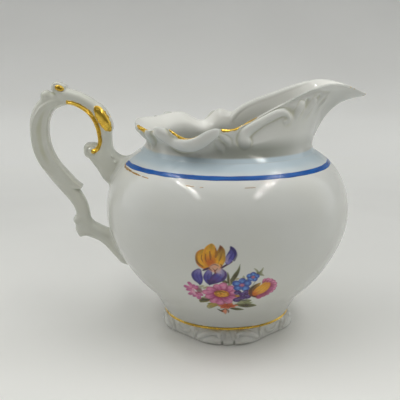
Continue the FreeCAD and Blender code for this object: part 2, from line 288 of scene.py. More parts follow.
def boundary_edges(triangles):
    """Edges that only one triangle has, in that triangle's own direction."""
    edges = np.vstack([triangles[:, [0, 1]], triangles[:, [1, 2]], triangles[:, [2, 0]]])
    _, index, count = np.unique(np.sort(edges, axis=1), axis=0, return_index=True, return_counts=True)
    return edges[index[count == 1]]


def film_shell(points, triangles, normals, lift):
    """A thin closed shell: the surface lifted along its normals, its edge turned down to just under it."""
    count = len(points)
    top = points + normals * lift
    under = points - normals * FILM_SINK
    edges = boundary_edges(triangles)
    rim = np.unique(edges)
    top[rim] = points[rim] + normals[rim] * (FILM_EDGE * lift)
    skirt = np.vstack([np.stack([edges[:, 1], edges[:, 0], edges[:, 0] + count], axis=1),
                       np.stack([edges[:, 1], edges[:, 0] + count, edges[:, 1] + count], axis=1)])
    return np.vstack([top, under]), np.vstack([triangles, triangles[:, ::-1] + count, skirt])


def waves(seed, *axes, count=10):
    """Smooth seeded wander between about -1 and 1: a sum of sine waves over the given coordinates."""
    random = np.random.default_rng(seed)
    total = 0.0
    for _ in range(count):
        turn = sum(random.normal(0, 1) * axis for axis in axes)
        total = total + np.sin(turn + random.uniform(0, 2 * math.pi))
    return total / math.sqrt(count)


# --- Bowl -------------------------------------------------------------------------------------------
BOWL_PROFILE = [(23.6, FOOT_TOP), (25.5, 9.0), (28.6, 14.0), (34.2, 20.0), (39.4, 27.0), (43.5, 35.0),
                (45.9, 43.5), (45.8, 51.0), (44.1, 57.0), (41.4, 62.0), (37.5, 66.1),
                (BASE_RADIUS, NECK_BASE)]
FLOOR_TOP = 8.5
# the curve from the wall's inside down on to the floor: radius, and height over FLOOR_TOP
COVE = [(22.8, 1.6), (19.0, 0.0), (9.0, -0.2), (0.0, -0.25)]
COVE_RISE = 4.5       # how far over the floor the cove starts
SHOULDER_DROP = 2.2   # how far under the seat the inside starts
BOWL_COLUMNS = 480
OUTSIDE_ROWS, COVE_ROWS, SHOULDER_ROWS = 130, 30, 8
BOWL_LINE, BOWL_RUN = path(BOWL_PROFILE, 1200)
SLOPE_STEP = 0.05
OVAL_SHARE, THREE_SHARE = 0.0008, 0.0005    # how far out of round it is: an oval and a three-sided wave


def out_of_round(angle, height):
    """A potted and fired wall is never quite round: a slow wander of a few hundredths of a millimetre."""
    return 1 + OVAL_SHARE * np.sin(2 * angle + 0.7) + THREE_SHARE * np.sin(3 * angle + height * 0.05)


def bowl_radius(height):
    return np.interp(height, BOWL_LINE[:, 1], BOWL_LINE[:, 0])


def bowl_slope(height):
    return (bowl_radius(height + SLOPE_STEP) - bowl_radius(height - SLOPE_STEP)) / (2 * SLOPE_STEP)


def on_bowl(angle, height, lift=0.0):
    """Points on the bowl's outside (angle in radians), lifted off it square to the surface."""
    slope = bowl_slope(height)
    length = np.sqrt(1 + slope ** 2)
    radius = bowl_radius(height) * out_of_round(angle, height) + lift / length
    return turned(radius, angle, height - lift * slope / length)


def off_bowl(x, y, z):
    """How far points are outside the bowl's wall."""
    radius = np.hypot(x, y) / out_of_round(np.arctan2(y, x), z)
    return (radius - bowl_radius(z)) / np.sqrt(1 + bowl_slope(z) ** 2)


def bowl_section():
    """The bowl's closed section: outside, seat, inside, floor and underside, as radius and height."""
    outside, _ = path(BOWL_PROFILE, OUTSIDE_ROWS)
    rim_inner = (BASE_RADIUS - WALL, NECK_BASE)
    step = np.gradient(outside, axis=0)
    inward = np.stack([-step[:, 1], step[:, 0]], axis=1) / np.linalg.norm(step, axis=1)[:, None]
    inside = (outside + WALL * inward)[::-1]
    inside = inside[(inside[:, 1] > FLOOR_TOP + COVE_RISE) & (inside[:, 1] < NECK_BASE - SHOULDER_DROP)]
    cove, _ = path([inside[-1]] + [(radius, FLOOR_TOP + over) for radius, over in COVE], COVE_ROWS)
    shoulder, _ = path([rim_inner, (rim_inner[0] + 0.5, NECK_BASE - 0.9), inside[0]], SHOULDER_ROWS)
    under = [(0.0, FOOT_TOP), (12.0, FOOT_TOP), (BOWL_PROFILE[0][0] - 0.4, FOOT_TOP)]
    return np.vstack([outside, shoulder, inside[1:], cove[1:], under])


def make_bowl(material):
    section = bowl_section()
    angle = np.linspace(0, 2 * math.pi, BOWL_COLUMNS, endpoint=False)
    radius, height = section[:, :1], section[:, 1:]
    points = turned(radius * out_of_round(angle, height), angle, height).reshape(-1, 3)
    faces = grid_faces(len(section), BOWL_COLUMNS, closed_rows=True)
    obj = make_mesh("body_bowl_glazed", points, faces, pool=np.zeros(len(points)))
    return finish_piece(obj, material, "body_bowl")


# --- Neck and spout ---------------------------------------------------------------------------------
# the rim from the spout's tip round one side to the back: along, out and up
RIM = [(51.4, 0.0, 89.9), (46.0, 4.1, 92.4), (41.0, 8.0, 94.0), (36.0, 11.4, 94.5), (30.0, 15.3, 93.2),
       (20.0, 20.8, 89.5), (10.0, 25.6, 85.0), (4.0, 28.0, 82.0), (0.0, 30.0, 80.8), (-5.0, 32.0, 81.1),
       (-9.5, 32.6, 79.6), (-14.0, 31.2, 77.8), (-18.5, 27.8, 78.8), (-22.5, 24.8, 80.4),
       (-27.0, 20.5, 79.0), (-31.0, 15.0, 79.4), (-34.0, 6.5, 80.0), (-34.5, 0.0, 80.0)]
# the far side's rim, which the maker's hand left a little different
FAR_RIM = RIM[:5] + [(20.0, 20.8, 89.3), (10.0, 25.6, 84.9), (5.8, 27.4, 82.2), (2.6, 28.9, 80.1),
                     (-2.3, 31.0, 81.0), (-5.8, 32.0, 78.4), (-9.2, 32.2, 75.9), (-13.4, 30.9, 77.4),
                     (-18.1, 27.6, 80.0), (-23.0, 23.6, 79.9), (-28.6, 17.4, 79.3)] + RIM[-2:]
NECK_WAIST = 1.6      # how far the neck draws in over its base
BASE_DIP = -0.3       # its lowest pole is this far under the seat
# The other poles: how high the waist and the throat are, in shares of the neck's height, and how much of
# the rim's flare they already take up.  Pairs are for the plain neck and for the spout.
WAIST_AT, THROAT_AT = 0.36, (0.7, 0.885)
WAIST_FLARE, THROAT_FLARE = 0.1, (0.8, 0.42)
# the rim's edge and top: how far out from the crest and how far under or over it
EDGE_OUT, EDGE_DROP = (LIP_WALL / 2, -0.8), (1.5, 1.0)
TOP_OUT, TOP_RISE = 0.6, (0.4, 0.0)
HALF_COLUMNS = 400    # columns of the neck's grid from the spout's tip to the middle of the back
NECK_POLES = 9
# The grid's rows are B-spline parameters, from the outside of the base over the lip to the inside: where
# the plain outside ends, the crest of the rim, where the lip ends, and the last one.
OUTSIDE_END, CREST, LIP_END, ROWS_END = 2.55, 3.0, 3.6, NECK_POLES - 3.0

# Relief modelled into the neck, both sides alike.  Each stroke runs through points on the neck: distance
# along the rim from the spout's tip, height, the stroke's half width, and how far it stands out (or in).
RAISED = {
    "scallop_roll": [(91.8, 79.6, 2.0, 2.0), (90.4, 78.1, 2.4, 2.1), (87.7, 76.2, 2.7, 2.2),
                     (84.4, 75.3, 2.9, 2.3), (80.1, 75.2, 2.9, 2.35), (76.5, 75.9, 2.7, 2.35),
                     (73.4, 77.2, 2.5, 2.3), (70.9, 78.9, 2.3, 2.25), (69.2, 80.2, 2.1, 2.1)],
    "small_leaf_upper": [(67.2, 79.0, 0.8, 0.5), (65.6, 78.0, 1.1, 0.7), (63.9, 76.6, 1.0, 0.7),
                         (63.2, 75.3, 0.6, 0.3)],
    "small_leaf_lower": [(68.3, 76.6, 0.8, 0.5), (67.4, 75.3, 1.2, 0.75), (66.4, 74.2, 1.1, 0.7),
                         (65.9, 73.2, 0.6, 0.3)],
    "scroll": [(57.7, 76.2, 2.3, 1.5), (57.9, 77.9, 2.2, 1.5), (56.7, 79.5, 2.0, 1.3),
               (54.4, 81.0, 1.8, 1.15), (51.4, 82.4, 1.7, 1.1), (48.4, 83.7, 1.6, 1.05),
               (45.4, 84.9, 1.6, 1.05), (42.6, 85.6, 1.5, 1.0), (40.4, 85.3, 1.3, 0.95),
               (39.2, 84.0, 1.1, 0.85), (39.5, 82.7, 1.0, 0.7), (40.9, 82.1, 0.8, 0.5)],
    "first_finger": [(32.7, 87.7, 1.4, 1.0), (33.6, 86.2, 1.5, 0.9), (34.8, 84.6, 1.3, 0.5),
                     (36.0, 82.6, 0.9, 0.05)],
    "second_finger": [(25.0, 88.8, 1.4, 1.05), (26.7, 87.1, 1.5, 0.95), (29.1, 85.0, 1.3, 0.55),
                      (31.6, 82.8, 0.9, 0.05)],
    "third_finger": [(14.4, 88.6, 0.75, 0.8), (16.0, 87.6, 0.85, 0.85), (18.4, 86.0, 0.8, 0.6),
                     (22.4, 83.6, 0.6, 0.05)],
    "back_leaf": [(98.3, 78.4, 1.2, 1.1), (99.4, 76.2, 1.4, 1.2), (101.2, 73.8, 1.2, 0.8),
                  (102.4, 71.8, 0.7, 0.1)],
    "back_leaf_outer": [(102.9, 78.8, 1.2, 0.9), (104.1, 76.2, 1.4, 1.1), (105.4, 73.4, 1.1, 0.7),
                        (106.0, 71.6, 0.7, 0.1)],
    "back_shell": [(108.0, 79.2, 1.3, 0.5), (108.2, 76.4, 1.7, 0.7), (108.3, 73.4, 1.2, 0.4)],
}
SUNK = {
    "cove": [(43.2, 87.0, 0.8, 0.3), (39.2, 88.0, 1.2, 0.75), (34.4, 89.7, 1.2, 0.8), (29.4, 91.2, 1.2, 0.8),
             (22.6, 91.6, 1.1, 0.7), (15.6, 91.2, 0.9, 0.35)],
    "tongue": [(41.2, 87.0, 1.0, 0.5), (38.4, 86.6, 1.5, 1.0), (36.6, 85.2, 1.3, 0.8),
               (36.3, 83.6, 0.8, 0.3)],
    "pleat": [(96.2, 79.0, 0.5, 0.5), (96.4, 77.2, 0.7, 0.8), (97.9, 75.0, 0.7, 0.6), (99.4, 73.4, 0.5, 0.2)],
    "second_hollow": [(29.2, 89.0, 1.0, 0.9), (30.3, 87.3, 0.9, 0.6)],
    "third_hollow": [(20.8, 89.8, 1.0, 0.9), (22.0, 88.1, 0.9, 0.6)],
    "curl_hole": [(67.3, 78.0, 0.7, 0.4), (66.9, 77.6, 0.7, 0.4)],
}
# The bead inside the spout's rim: distance along the rim, how far inside it, half width, how far it stands
INNER_LIP = [(60.5, 5.0, 0.7, 0.15), (60.0, 3.2, 1.0, 0.45), (58.2, 1.9, 1.2, 0.5), (54.0, 1.3, 1.3, 0.35),
             (44.0, 1.2, 1.4, 0.22), (30.0, 1.2, 1.4, 0.18), (14.0, 1.1, 1.0, 0.12), (4.0, 1.0, 0.6, 0.05)]
ROLL_SHAPE = 0.64     # 0.5 would make a roll's section round, 1 a parabola
# the fine groove beside a roll: its depth, where it is in shares of the roll's half width, and its width
CREVICE, CREVICE_AT, CREVICE_WIDTH = 0.22, 1.1, 0.17
RAISED_ENOUGH = 0.2   # no groove is cut where another roll stands out this far
RELIEF_END = 2.74     # the row over which the relief fades out towards the crest
RELIEF_PASSES = 3
STROKE_SAMPLES, LIP_SAMPLES = 90, 200
# the fillet at the neck's foot: how far it runs out, over what height, and how soon it settles
FILLET_REACH, FILLET_HEIGHT, FILLET_DROP, FILLET_SINK = 1.5, 0.9, 0.5, 0.03
# the bead just under the rim: its row, its width in rows, and how far it stands out
RIM_BEAD = (2.66, 0.13, 0.3)
# where along the rim it rises, from nothing to whole, and where it runs out again
RIM_BEAD_RISE, RIM_BEAD_FALL = (5, 12), (67, 62)
# how many passes of smoothing find the hollows where glaze pools and painted shade darkens, and how deep a
# full one is
POOL_PASSES, POOL_DEPTH = 14, 0.3
POOL_SHARE = 0.7      # of that, how much shows on the neck
RIM_WANDER = 0.08     # the rim's slow rise and fall, as hand work leaves it
WANDER_OUTSIDE, WANDER_INSIDE = (1.5, CREST), (5, 3.4)    # the rows over which it comes in, on both sides


def neck_poles(crest):
    """Nine poles for each column, from the outside of the base over the lip to the inside."""
    angle = np.arctan2(crest[:, 1], crest[:, 0])
    spout = np.maximum(0, np.cos(angle)) ** 4
    reach = np.hypot(crest[:, 0], crest[:, 1])
    flare = reach - BASE_RADIUS
    rise = crest[:, 2] - NECK_BASE

    def mixed(plain, at_spout):
        return plain + (at_spout - plain) * spout

    base = np.stack([np.full_like(reach, BASE_RADIUS), np.full_like(reach, BASE_DIP)], axis=1)
    waist = np.stack([BASE_RADIUS + mixed(-NECK_WAIST, WAIST_FLARE * flare), WAIST_AT * rise], axis=1)
    throat = np.stack([BASE_RADIUS + mixed(THROAT_FLARE[0] * flare - NECK_WAIST / 2, THROAT_FLARE[1] * flare),
                       mixed(*THROAT_AT) * rise], axis=1)
    edge = np.stack([reach + mixed(*EDGE_OUT), rise - mixed(*EDGE_DROP)], axis=1)
    top = np.stack([reach + TOP_OUT * spout, rise + mixed(*TOP_RISE)], axis=1)

    def inwards(pole, before, after, distance):
        along = after - before
        along /= np.linalg.norm(along, axis=1)[:, None]
        return pole + np.stack([-along[:, 1], along[:, 0]], axis=1) * distance

    inner_base = base - np.array([WALL, 0])
    poles = [base, waist, throat, edge, top, inwards(edge, throat, edge, LIP_WALL),
             inwards(throat, waist, edge, LIP_WALL), inwards(waist, base, throat, WALL), inner_base]
    return np.stack([turned(p[:, 0], angle, NECK_BASE + p[:, 1]) for p in poles])


def neck_rows():
    """The parameters of the neck's rows: close together over the lip, where it's most curved."""
    outside = np.linspace(0, OUTSIDE_END, 66)
    lip = np.linspace(OUTSIDE_END, LIP_END, 22)[1:]
    inside = np.linspace(LIP_END, ROWS_END, 34)[1:]
    return np.concatenate([outside, lip, inside])


def plain_neck():
    """Grid of the smooth neck (rows, columns, 3), each row's parameter, and each column's distance along
    the rim from the tip of the spout."""
    near_half = [(x, -half, z) for x, half, z in RIM]
    loop, run = path(near_half + FAR_RIM[-2:0:-1], 8000, closed=True)
    back = np.argmin(np.linalg.norm(loop - RIM[-1], axis=1))
    ahead = np.linspace(0, run[back], HALF_COLUMNS + 1)
    behind = np.linspace(run[back], run[-1], HALF_COLUMNS + 1)[1:-1]
    crest = np.stack([np.interp(np.append(ahead, behind), run, column) for column in loop.T], axis=1)
    distance = np.append(ahead, run[-1] - behind)
    rows = neck_rows()
    grid = np.tensordot(basis(rows, NECK_POLES), neck_poles(crest), axes=(1, 0))
    return grid, rows, distance


def nearest_on(stroke, points):
    """Each point's distance from a sampled stroke, and the stroke's width and height there."""
    best, which = closest(((points - place) ** 2).sum(axis=1) for place in stroke[:, :3])
    return np.sqrt(best), stroke[which, 3], stroke[which, 4]


def neck_relief(grid, rows, distance):
    """How far the neck's surface stands out at each grid point."""
    outer = rows <= CREST
    near = grid[outer, :HALF_COLUMNS + 1]
    points = near.reshape(-1, 3)

    def on_neck(along, height):
        column = int(round(along / distance[HALF_COLUMNS] * HALF_COLUMNS))
        side = near[:, min(column, HALF_COLUMNS)]
        return [np.interp(height, side[:, 2], side[:, axis]) for axis in range(3)]

    def strokes(group):
        for stops in group.values():
            places = [on_neck(along, height) + [width, out] for along, height, width, out in stops]
            yield nearest_on(path(places, STROKE_SAMPLES)[0], points)

    raised = np.zeros(len(points))
    crevice = np.zeros(len(points))
    for gap, width, out in strokes(RAISED):
        share = gap / width
        raised = np.maximum(raised, out * np.clip(1 - share ** 2, 0, 1) ** ROLL_SHAPE)
        groove = np.exp(-((share - CREVICE_AT) / CREVICE_WIDTH) ** 2)
        crevice = np.maximum(crevice, np.minimum(out, 1) * groove)
    sunk = np.zeros(len(points))
    for gap, width, depth in strokes(SUNK):
        sunk = np.maximum(sunk, depth * np.exp(-(gap / width) ** 2))
    relief = raised - CREVICE * crevice * (raised < RAISED_ENOUGH) - sunk
    relief = relief.reshape(near.shape[:2])
    relief *= smoothstep(CREST, RELIEF_END, rows[outer])[:, None]
    row, wide, out = RIM_BEAD
    along = distance[:HALF_COLUMNS + 1]
    relief += (out * np.exp(-((rows[outer] - row) / wide) ** 2)[:, None]
               * (smoothstep(*RIM_BEAD_RISE, along) * smoothstep(*RIM_BEAD_FALL, along))[None, :])
    for _ in range(RELIEF_PASSES):
        relief = (4 * relief + neighbours(relief)) / 8
    whole = np.zeros(grid.shape[:2])
    whole[outer, :HALF_COLUMNS + 1] = relief
    whole[:, HALF_COLUMNS + 1:] = whole[:, HALF_COLUMNS - 1:0:-1]
    return whole


def inner_lip(grid, rows, distance):
    """How far the bead inside the spout's rim stands out at each grid point, on both sides."""
    inner = rows >= CREST
    relief = np.zeros(grid.shape[:2])
    columns = grid.shape[1]
    for side in (np.arange(HALF_COLUMNS + 1), np.append(0, np.arange(columns - 1, HALF_COLUMNS - 1, -1))):
        part = grid[np.ix_(inner, side)]
        steps = np.linalg.norm(np.diff(part, axis=0), axis=2)
        depth = np.vstack([np.zeros(len(side)), np.cumsum(steps, axis=0)])
        places = []
        for along, inside, width, out in INNER_LIP:
            column = int(np.argmin(np.abs(distance[side] - along)))
            places.append([np.interp(inside, depth[:, column], part[:, column, axis]) for axis in range(3)]
                          + [width, out])
        gap, width, out = nearest_on(path(places, LIP_SAMPLES)[0], part.reshape(-1, 3))
        ridge = out * np.clip(1 - (gap / width) ** 2, 0, 1) ** ROLL_SHAPE
        relief[np.ix_(inner, side)] = ridge.reshape(part.shape[:2])
    return relief


def filleted(grid, rows):
    """The neck run out at its base in a soft fillet that ends on the bowl's shoulder."""
    outer = rows <= CREST
    lower = grid[outer]
    rise = np.maximum(lower[..., 2] - lower[:1, :, 2], 0)
    spread = 1 + FILLET_REACH * np.exp(-rise / FILLET_HEIGHT) / BASE_RADIUS
    lower[..., :2] *= spread[..., None]
    shoulder = BOWL_LINE[-len(BOWL_LINE) // 3:]
    seat = np.interp(-np.hypot(lower[0, :, 0], lower[0, :, 1]), -shoulder[:, 0], shoulder[:, 1])
    lower[..., 2] -= (lower[0, :, 2] - seat + FILLET_SINK) * np.exp(-rise / FILLET_DROP)
    grid[outer] = lower
    return grid


def pooled_and_shaded(relief, passes=POOL_PASSES):
    """Where the relief is hollow, so that glaze pools there and painted shade darkens it: 0 to 1."""
    soft = relief
    for _ in range(passes):
        soft = neighbours(soft, wrap=True) / 4
    return np.clip((soft - relief) / POOL_DEPTH, 0, 1)


def neck_surface():
    """The neck with its relief: its grid, normals, rows, distances along the rim, and how much glaze pools,
    with painted shade, from 1 in the hollows to -1 for the thin clean glaze inside, which is painted lighter."""
    grid, rows, distance = plain_neck()
    relief = neck_relief(grid, rows, distance)
    relief += inner_lip(grid, rows, distance)
    round_rim = np.linspace(0, 2 * math.pi, grid.shape[1], endpoint=False)
    hand = RIM_WANDER * waves(3, np.cos(round_rim) * 9)
    grid = filleted(grid - grid_normals(grid) * relief[..., None], rows)
    near_rim = smoothstep(*WANDER_OUTSIDE, rows)[:, None] * smoothstep(*WANDER_INSIDE, rows)[:, None]
    grid[..., 2] += hand[None, :] * near_rim
    # the inside's thin clean glaze, which the material also paints lighter as painted light
    clean = smoothstep(CREST, LIP_END, rows) * smoothstep(ROWS_END, ROWS_END - 1, rows)
    return grid, -grid_normals(grid), rows, distance, POOL_SHARE * pooled_and_shaded(relief) - clean[:, None]


def make_neck(material, surface):
    grid, _, rows, _, pool = surface
    faces = grid_faces(len(rows), grid.shape[1])[:, ::-1]
    obj = make_mesh("neck_and_spout_glazed", grid.reshape(-1, 3), faces, pool=pool)
    return finish_piece(obj, material, "neck_and_spout")


# --- Foot -------------------------------------------------------------------------------------------
LOBES = 4
FOOT_SEAT = 23.7      # the ring's outside where it meets the bowl
FOOT_ROWS, FOOT_COLUMNS = 84, 1080
FOOT_SCALE = 0.43     # millimetres of arc in a degree
# half of one lobe's outline at the table: degrees from its middle, radius
LOBE_OUTLINE = [(0, 25.5), (9, 25.6), (17, 25.4), (25, 24.6), (34, 23.4), (41, 22.9), (45, 22.8)]
# the foot's section: share of the outline taken up, height, and how far inside it stays
FOOT_SECTION = [(0.0, 5.9, 0.25), (0.05, 5.4, 0.0), (0.22, 4.7, 0.0), (0.48, 3.8, 0.0), (0.8, 2.6, 0.0),
                (1.0, 1.55, 0.0), (0.985, 0.85, 0.08), (0.95, 0.35, 0.35), (0.88, 0.06, 0.8), (0.6, 0.0, 1.6),
                (0.25, 0.15, 2.6), (0.0, 0.9, 3.3), (0.0, 2.6, 3.6), (0.0, 5.5, 3.7)]
# scroll work on half a lobe: millimetres from the lobe's middle, height, half width, how far it stands out
FOOT_STROKES = [[(0.0, 0.4, 1.8, 0.5), (0.0, 2.2, 1.4, 0.6), (0.0, 3.7, 0.9, 0.5)],
                [(3.2, 3.3, 0.8, 0.5), (3.6, 4.3, 0.8, 0.7), (5.2, 4.6, 0.8, 0.7), (7.6, 4.1, 0.9, 0.65),
                 (9.8, 3.1, 0.9, 0.6), (11.6, 1.9, 0.8, 0.45)],
                [(3.3, 1.6, 1.2, 0.5), (5.8, 1.9, 1.4, 0.6), (8.8, 1.0, 0.9, 0.3)],
                [(13.1, 3.3, 0.8, 0.6), (13.4, 2.3, 0.9, 0.65), (13.7, 1.4, 0.7, 0.45)],
                [(16.2, 3.6, 0.7, 0.4), (17.6, 2.6, 0.8, 0.45), (19.2, 2.2, 0.8, 0.4)]]
# beads over the scroll work: millimetres from the lobe's middle, height, half size, how far they stand out
FOOT_BEADS = [(0.0, 4.3, 0.95, 0.75), (3.3, 4.3, 0.95, 0.8), (12.9, 4.2, 0.95, 0.7)]
# the notch low beside the lobe's middle: millimetres from it, half width, depth
NOTCH = (2.2, 0.34, 0.9)
NOTCH_FADE = (2.3, 0.9)    # the heights between which it runs out
# where the relief comes in: by how far inside the outline, down from the seam, and up from the table
RELIEF_INSET, RELIEF_SEAM, RELIEF_TABLE = (0.9, 0.2), (5.5, 4.9), (-0.4, 0.5)
FOOT_STROKE_SAMPLES = 50
FOOT_POOL_PASSES = 8
FOOT_CLEAN_AND_LIGHT = 0.7      # how thin and clean the glaze is on the foot, out of 1; it also paints the foot lighter as painted light
BACK_LOBE = 0.4       # the lobe under the handle stands out this much of the others' share


def foot_relief(across, height):
    """Scroll work on the foot, from millimetres off the lobe's middle and height."""
    across = np.abs(across)
    points = np.stack([across.ravel(), height.ravel(), np.zeros(across.size)], axis=1)
    relief = np.zeros(across.size)
    for stops in FOOT_STROKES:
        places = [(u, z, 0.0, width, out) for u, z, width, out in stops]
        gap, width, out = nearest_on(path(places, FOOT_STROKE_SAMPLES)[0], points)
        relief = np.maximum(relief, out * np.clip(1 - (gap / width) ** 2, 0, 1))
    relief = relief.reshape(across.shape)
    for u, z, size, out in FOOT_BEADS:
        gap = np.hypot(across - u, height - z) / size
        relief = np.maximum(relief, out * np.clip(1 - gap ** 2, 0, 1))
    place, width, depth = NOTCH
    return relief - depth * np.exp(-((across - place) / width) ** 2) * smoothstep(*NOTCH_FADE, height)


def make_foot(material):
    angle = np.linspace(0, 2 * math.pi, FOOT_COLUMNS, endpoint=False)
    sector = 360 / LOBES
    off_middle = (np.degrees(angle) + sector / 2) % sector - sector / 2
    half = np.array(LOBE_OUTLINE, float)
    full = np.vstack([half[:0:-1] * (-1, 1), half[:-1]])
    outline = cubic(np.append(full[:, 0], sector / 2), np.append(full[:, 1], half[-1, 1]), closed=True)
    reach = outline(off_middle)[:, 0] - FOOT_SEAT
    reach = reach * (1 - (1 - BACK_LOBE) * np.maximum(0, -np.cos(angle)) ** 5)
    rows, _ = path(FOOT_SECTION, FOOT_ROWS)
    height = np.maximum(rows[:, 1:2], 0) + np.zeros_like(angle)[None, :]
    inset = rows[:, 2:3]
    radius = FOOT_SEAT + rows[:, :1] * reach[None, :] - inset
    outer = (smoothstep(*RELIEF_INSET, inset) * smoothstep(*RELIEF_SEAM, height)
             * smoothstep(*RELIEF_TABLE, height))
    relief = foot_relief(off_middle[None, :] * FOOT_SCALE + np.zeros_like(height), height) * outer
    grid = turned(radius + relief, angle[None, :], height)
    faces = grid_faces(len(rows), len(angle))[:, ::-1]
    # Pool: painted shade with pooled glaze in the scroll work's hollows, less the clean glaze, which is
    # painted lighter
    pool = pooled_and_shaded(relief, FOOT_POOL_PASSES) - FOOT_CLEAN_AND_LIGHT
    obj = make_mesh("foot_ring_glazed", grid.reshape(-1, 3), faces, pool=pool)
    return finish_piece(obj, material, "foot_ring")


# --- Handle -----------------------------------------------------------------------------------------
# Straps run through stations in the jug's middle plane: along, up, half thickness, half width.
ARCH = [(-34.0, 57.6, 7.4, 5.4), (-39.4, 60.1, 6.4, 5.3), (-43.4, 63.0, 5.0, 5.0), (-46.0, 67.2, 3.6, 4.5),
        (-46.3, 71.0, 2.8, 4.1), (-46.2, 75.5, 2.6, 3.9), (-47.3, 80.2, 2.75, 3.8), (-50.2, 84.4, 2.75, 3.8),
        (-54.6, 87.3, 2.75, 3.8), (-59.5, 88.6, 2.75, 3.8), (-64.3, 87.8, 3.0, 3.2), (-68.5, 85.1, 3.25, 2.7),
        (-70.7, 81.0, 3.4, 2.5), (-71.2, 76.0, 3.4, 2.5), (-70.8, 71.4, 3.4, 2.5), (-69.3, 67.0, 3.4, 2.5),
        (-67.1, 62.9, 3.4, 2.75), (-64.3, 58.8, 3.2, 3.1), (-61.2, 54.6, 2.9, 3.2), (-58.2, 50.7, 2.75, 3.15),
        (-56.1, 46.4, 2.6, 3.1), (-55.5, 42.4, 2.6, 3.1), (-55.6, 39.6, 2.5, 3.2)]
BRACKET = [(-55.9, 38.5, 2.9, 3.6), (-53.2, 37.9, 3.0, 3.8), (-49.8, 36.5, 2.8, 4.0), (-46.3, 34.6, 3.1, 4.3),
           (-42.6, 32.1, 4.2, 4.8), (-38.4, 29.2, 5.6, 5.3)]
LEAF = [(-60.6, 87.4, 0.8, 3.6), (-64.7, 86.5, 1.7, 4.1), (-68.2, 83.8, 2.6, 4.35),
        (-70.3, 79.6, 3.1, 4.4), (-70.8, 75.2, 3.3, 4.4), (-70.4, 70.8, 3.35, 4.4),
        (-69.0, 66.5, 3.3, 4.4), (-66.6, 62.5, 3.1, 4.35), (-63.5, 59.4, 2.6, 4.2),
        (-60.5, 56.9, 2.0, 4.0), (-58.0, 55.3, 1.3, 3.7), (-56.3, 54.7, 0.7, 3.4)]
INNER_BEAD = [(-60.2, 87.0, 0.5, 3.7), (-58.0, 86.8, 0.75, 4.15), (-55.3, 85.7, 0.85, 4.3),
              (-52.2, 83.6, 0.9, 4.35), (-50.0, 80.7, 0.9, 4.35), (-48.75, 77.6, 0.9, 4.35),
              (-48.15, 74.4, 0.85, 4.35), (-48.2, 71.7, 0.8, 4.4), (-49.0, 70.0, 0.75, 4.6),
              (-50.2, 69.0, 0.7, 4.75)]
# Lumps: middle (along, up), half sizes (along, across, up), tilt in degrees, squareness, blend
CURL = ((-51.6, 69.0), (2.75, 4.55, 2.65), 0, 3.2, 0.9)
CURL_UNDER = ((-48.6, 66.2), (3.4, 4.3, 3.4), 30, 2.4, 2.4)
THUMB = ((-62.9, 92.3), (2.9, 3.9, 2.05), -18, 3.0, 1.0)
THUMB_NECK = ((-61.4, 90.4), (2.6, 3.6, 1.9), -25, 2.4, 1.4)
THUMB_SHOULDER = ((-57.6, 89.3), (3.6, 3.6, 1.7), -20, 2.4, 1.4)
SECOND_LUMP = ((-68.0, 89.6), (1.9, 3.1, 1.7), 35, 2.4, 1.3)
GILT_LEAF = ((-46.6, 81.2), (2.2, 4.4, 5.8), 28.0, 2.6, 0.6)
KNUCKLE = ((-57.7, 41.7), (1.7, 3.7, 1.6), -30, 2.4, 1.4)
HEEL = ((-56.4, 36.6), (1.35, 3.6, 1.5), 20, 3.0, 0.8)
ELBOW = ((-54.6, 39.8), (2.6, 3.3, 2.4), 0, 2.4, 1.4)
ROOT_FOLD = ((-43.4, 67.0), (0.9, 4.9, 0.5), -52, 2.2, 0.5)
ROOT_FOLD_LOW = ((-42.2, 64.9), (0.9, 5.4, 0.5), -44, 2.2, 0.5)
ROOT_WEB = ((-45.7, 61.0), (2.8, 4.3, 5.0), 24, 2.2, 2.6)
LUMPS = [CURL, CURL_UNDER, THUMB, THUMB_NECK, THUMB_SHOULDER, SECOND_LUMP, GILT_LEAF, KNUCKLE, HEEL, ELBOW,
         ROOT_FOLD, ROOT_FOLD_LOW, ROOT_WEB]
# Dished eyes on the scrolls' cheeks: middle, radii of the ring groove (along, up), tilt, and the groove's
# half width and depth
CURL_EYE = ((-51.2, 69.1), (1.55, 1.5), 0, 0.42, 0.45)
THUMB_EYE = ((-62.3, 92.4), (1.9, 1.2), -20, 0.3, 0.42)
EYES = [CURL_EYE, THUMB_EYE]
EYE_EDGE = (2.4, 3.2)     # the distances from the middle plane over which an eye's groove comes in
# the power that makes an oval section square, 2 for a plain oval, and how far the leaf's cheeks are dished
STRAP_SQUARE, LEAF_SQUARE, BEAD_SQUARE = 2.5, 3.8, 2.2
LEAF_HOLLOW = 1.9
# how widely each shape melts into the ones before it
BRACKET_BLEND, LEAF_BLEND, BEAD_BLEND, BOWL_BLEND = 1.2, 0.3, 0.25, 2.1
JOINT_REACH = 1.2     # the slip's joint runs this far out from the wall
WALL_BITE = 0.35      # and is let into it by this
FEATHER = 0.02        # the handle's mesh is cut off this far out from the wall
MID_HEIGHT = 48.0     # between the two roots
# the grid on which the handle is made: its step, the room round the handle and under its lower root, and
# its limits across and towards the bowl
VOXEL, HANDLE_MARGIN, ROOT_ROOM = 0.26, 2.5, 4.0
HANDLE_HALF, ROOT_END = 7.8, -30.0
# how the grid's points are then drawn on to the surface
SLOPE_REACH, REFINE_PASSES, LEAST_SLOPE = 0.02, 3, 0.05
HANDLE_POOL_AND_SHADE = 0.35    # the handle's glaze is thick all over, and this also paints shade over the whole handle
# how many passes of smoothing find its hollows, where painted shade darkens them, and how deep a full one is
HOLLOW_PASSES, HOLLOW_DEPTH = 90, 0.24
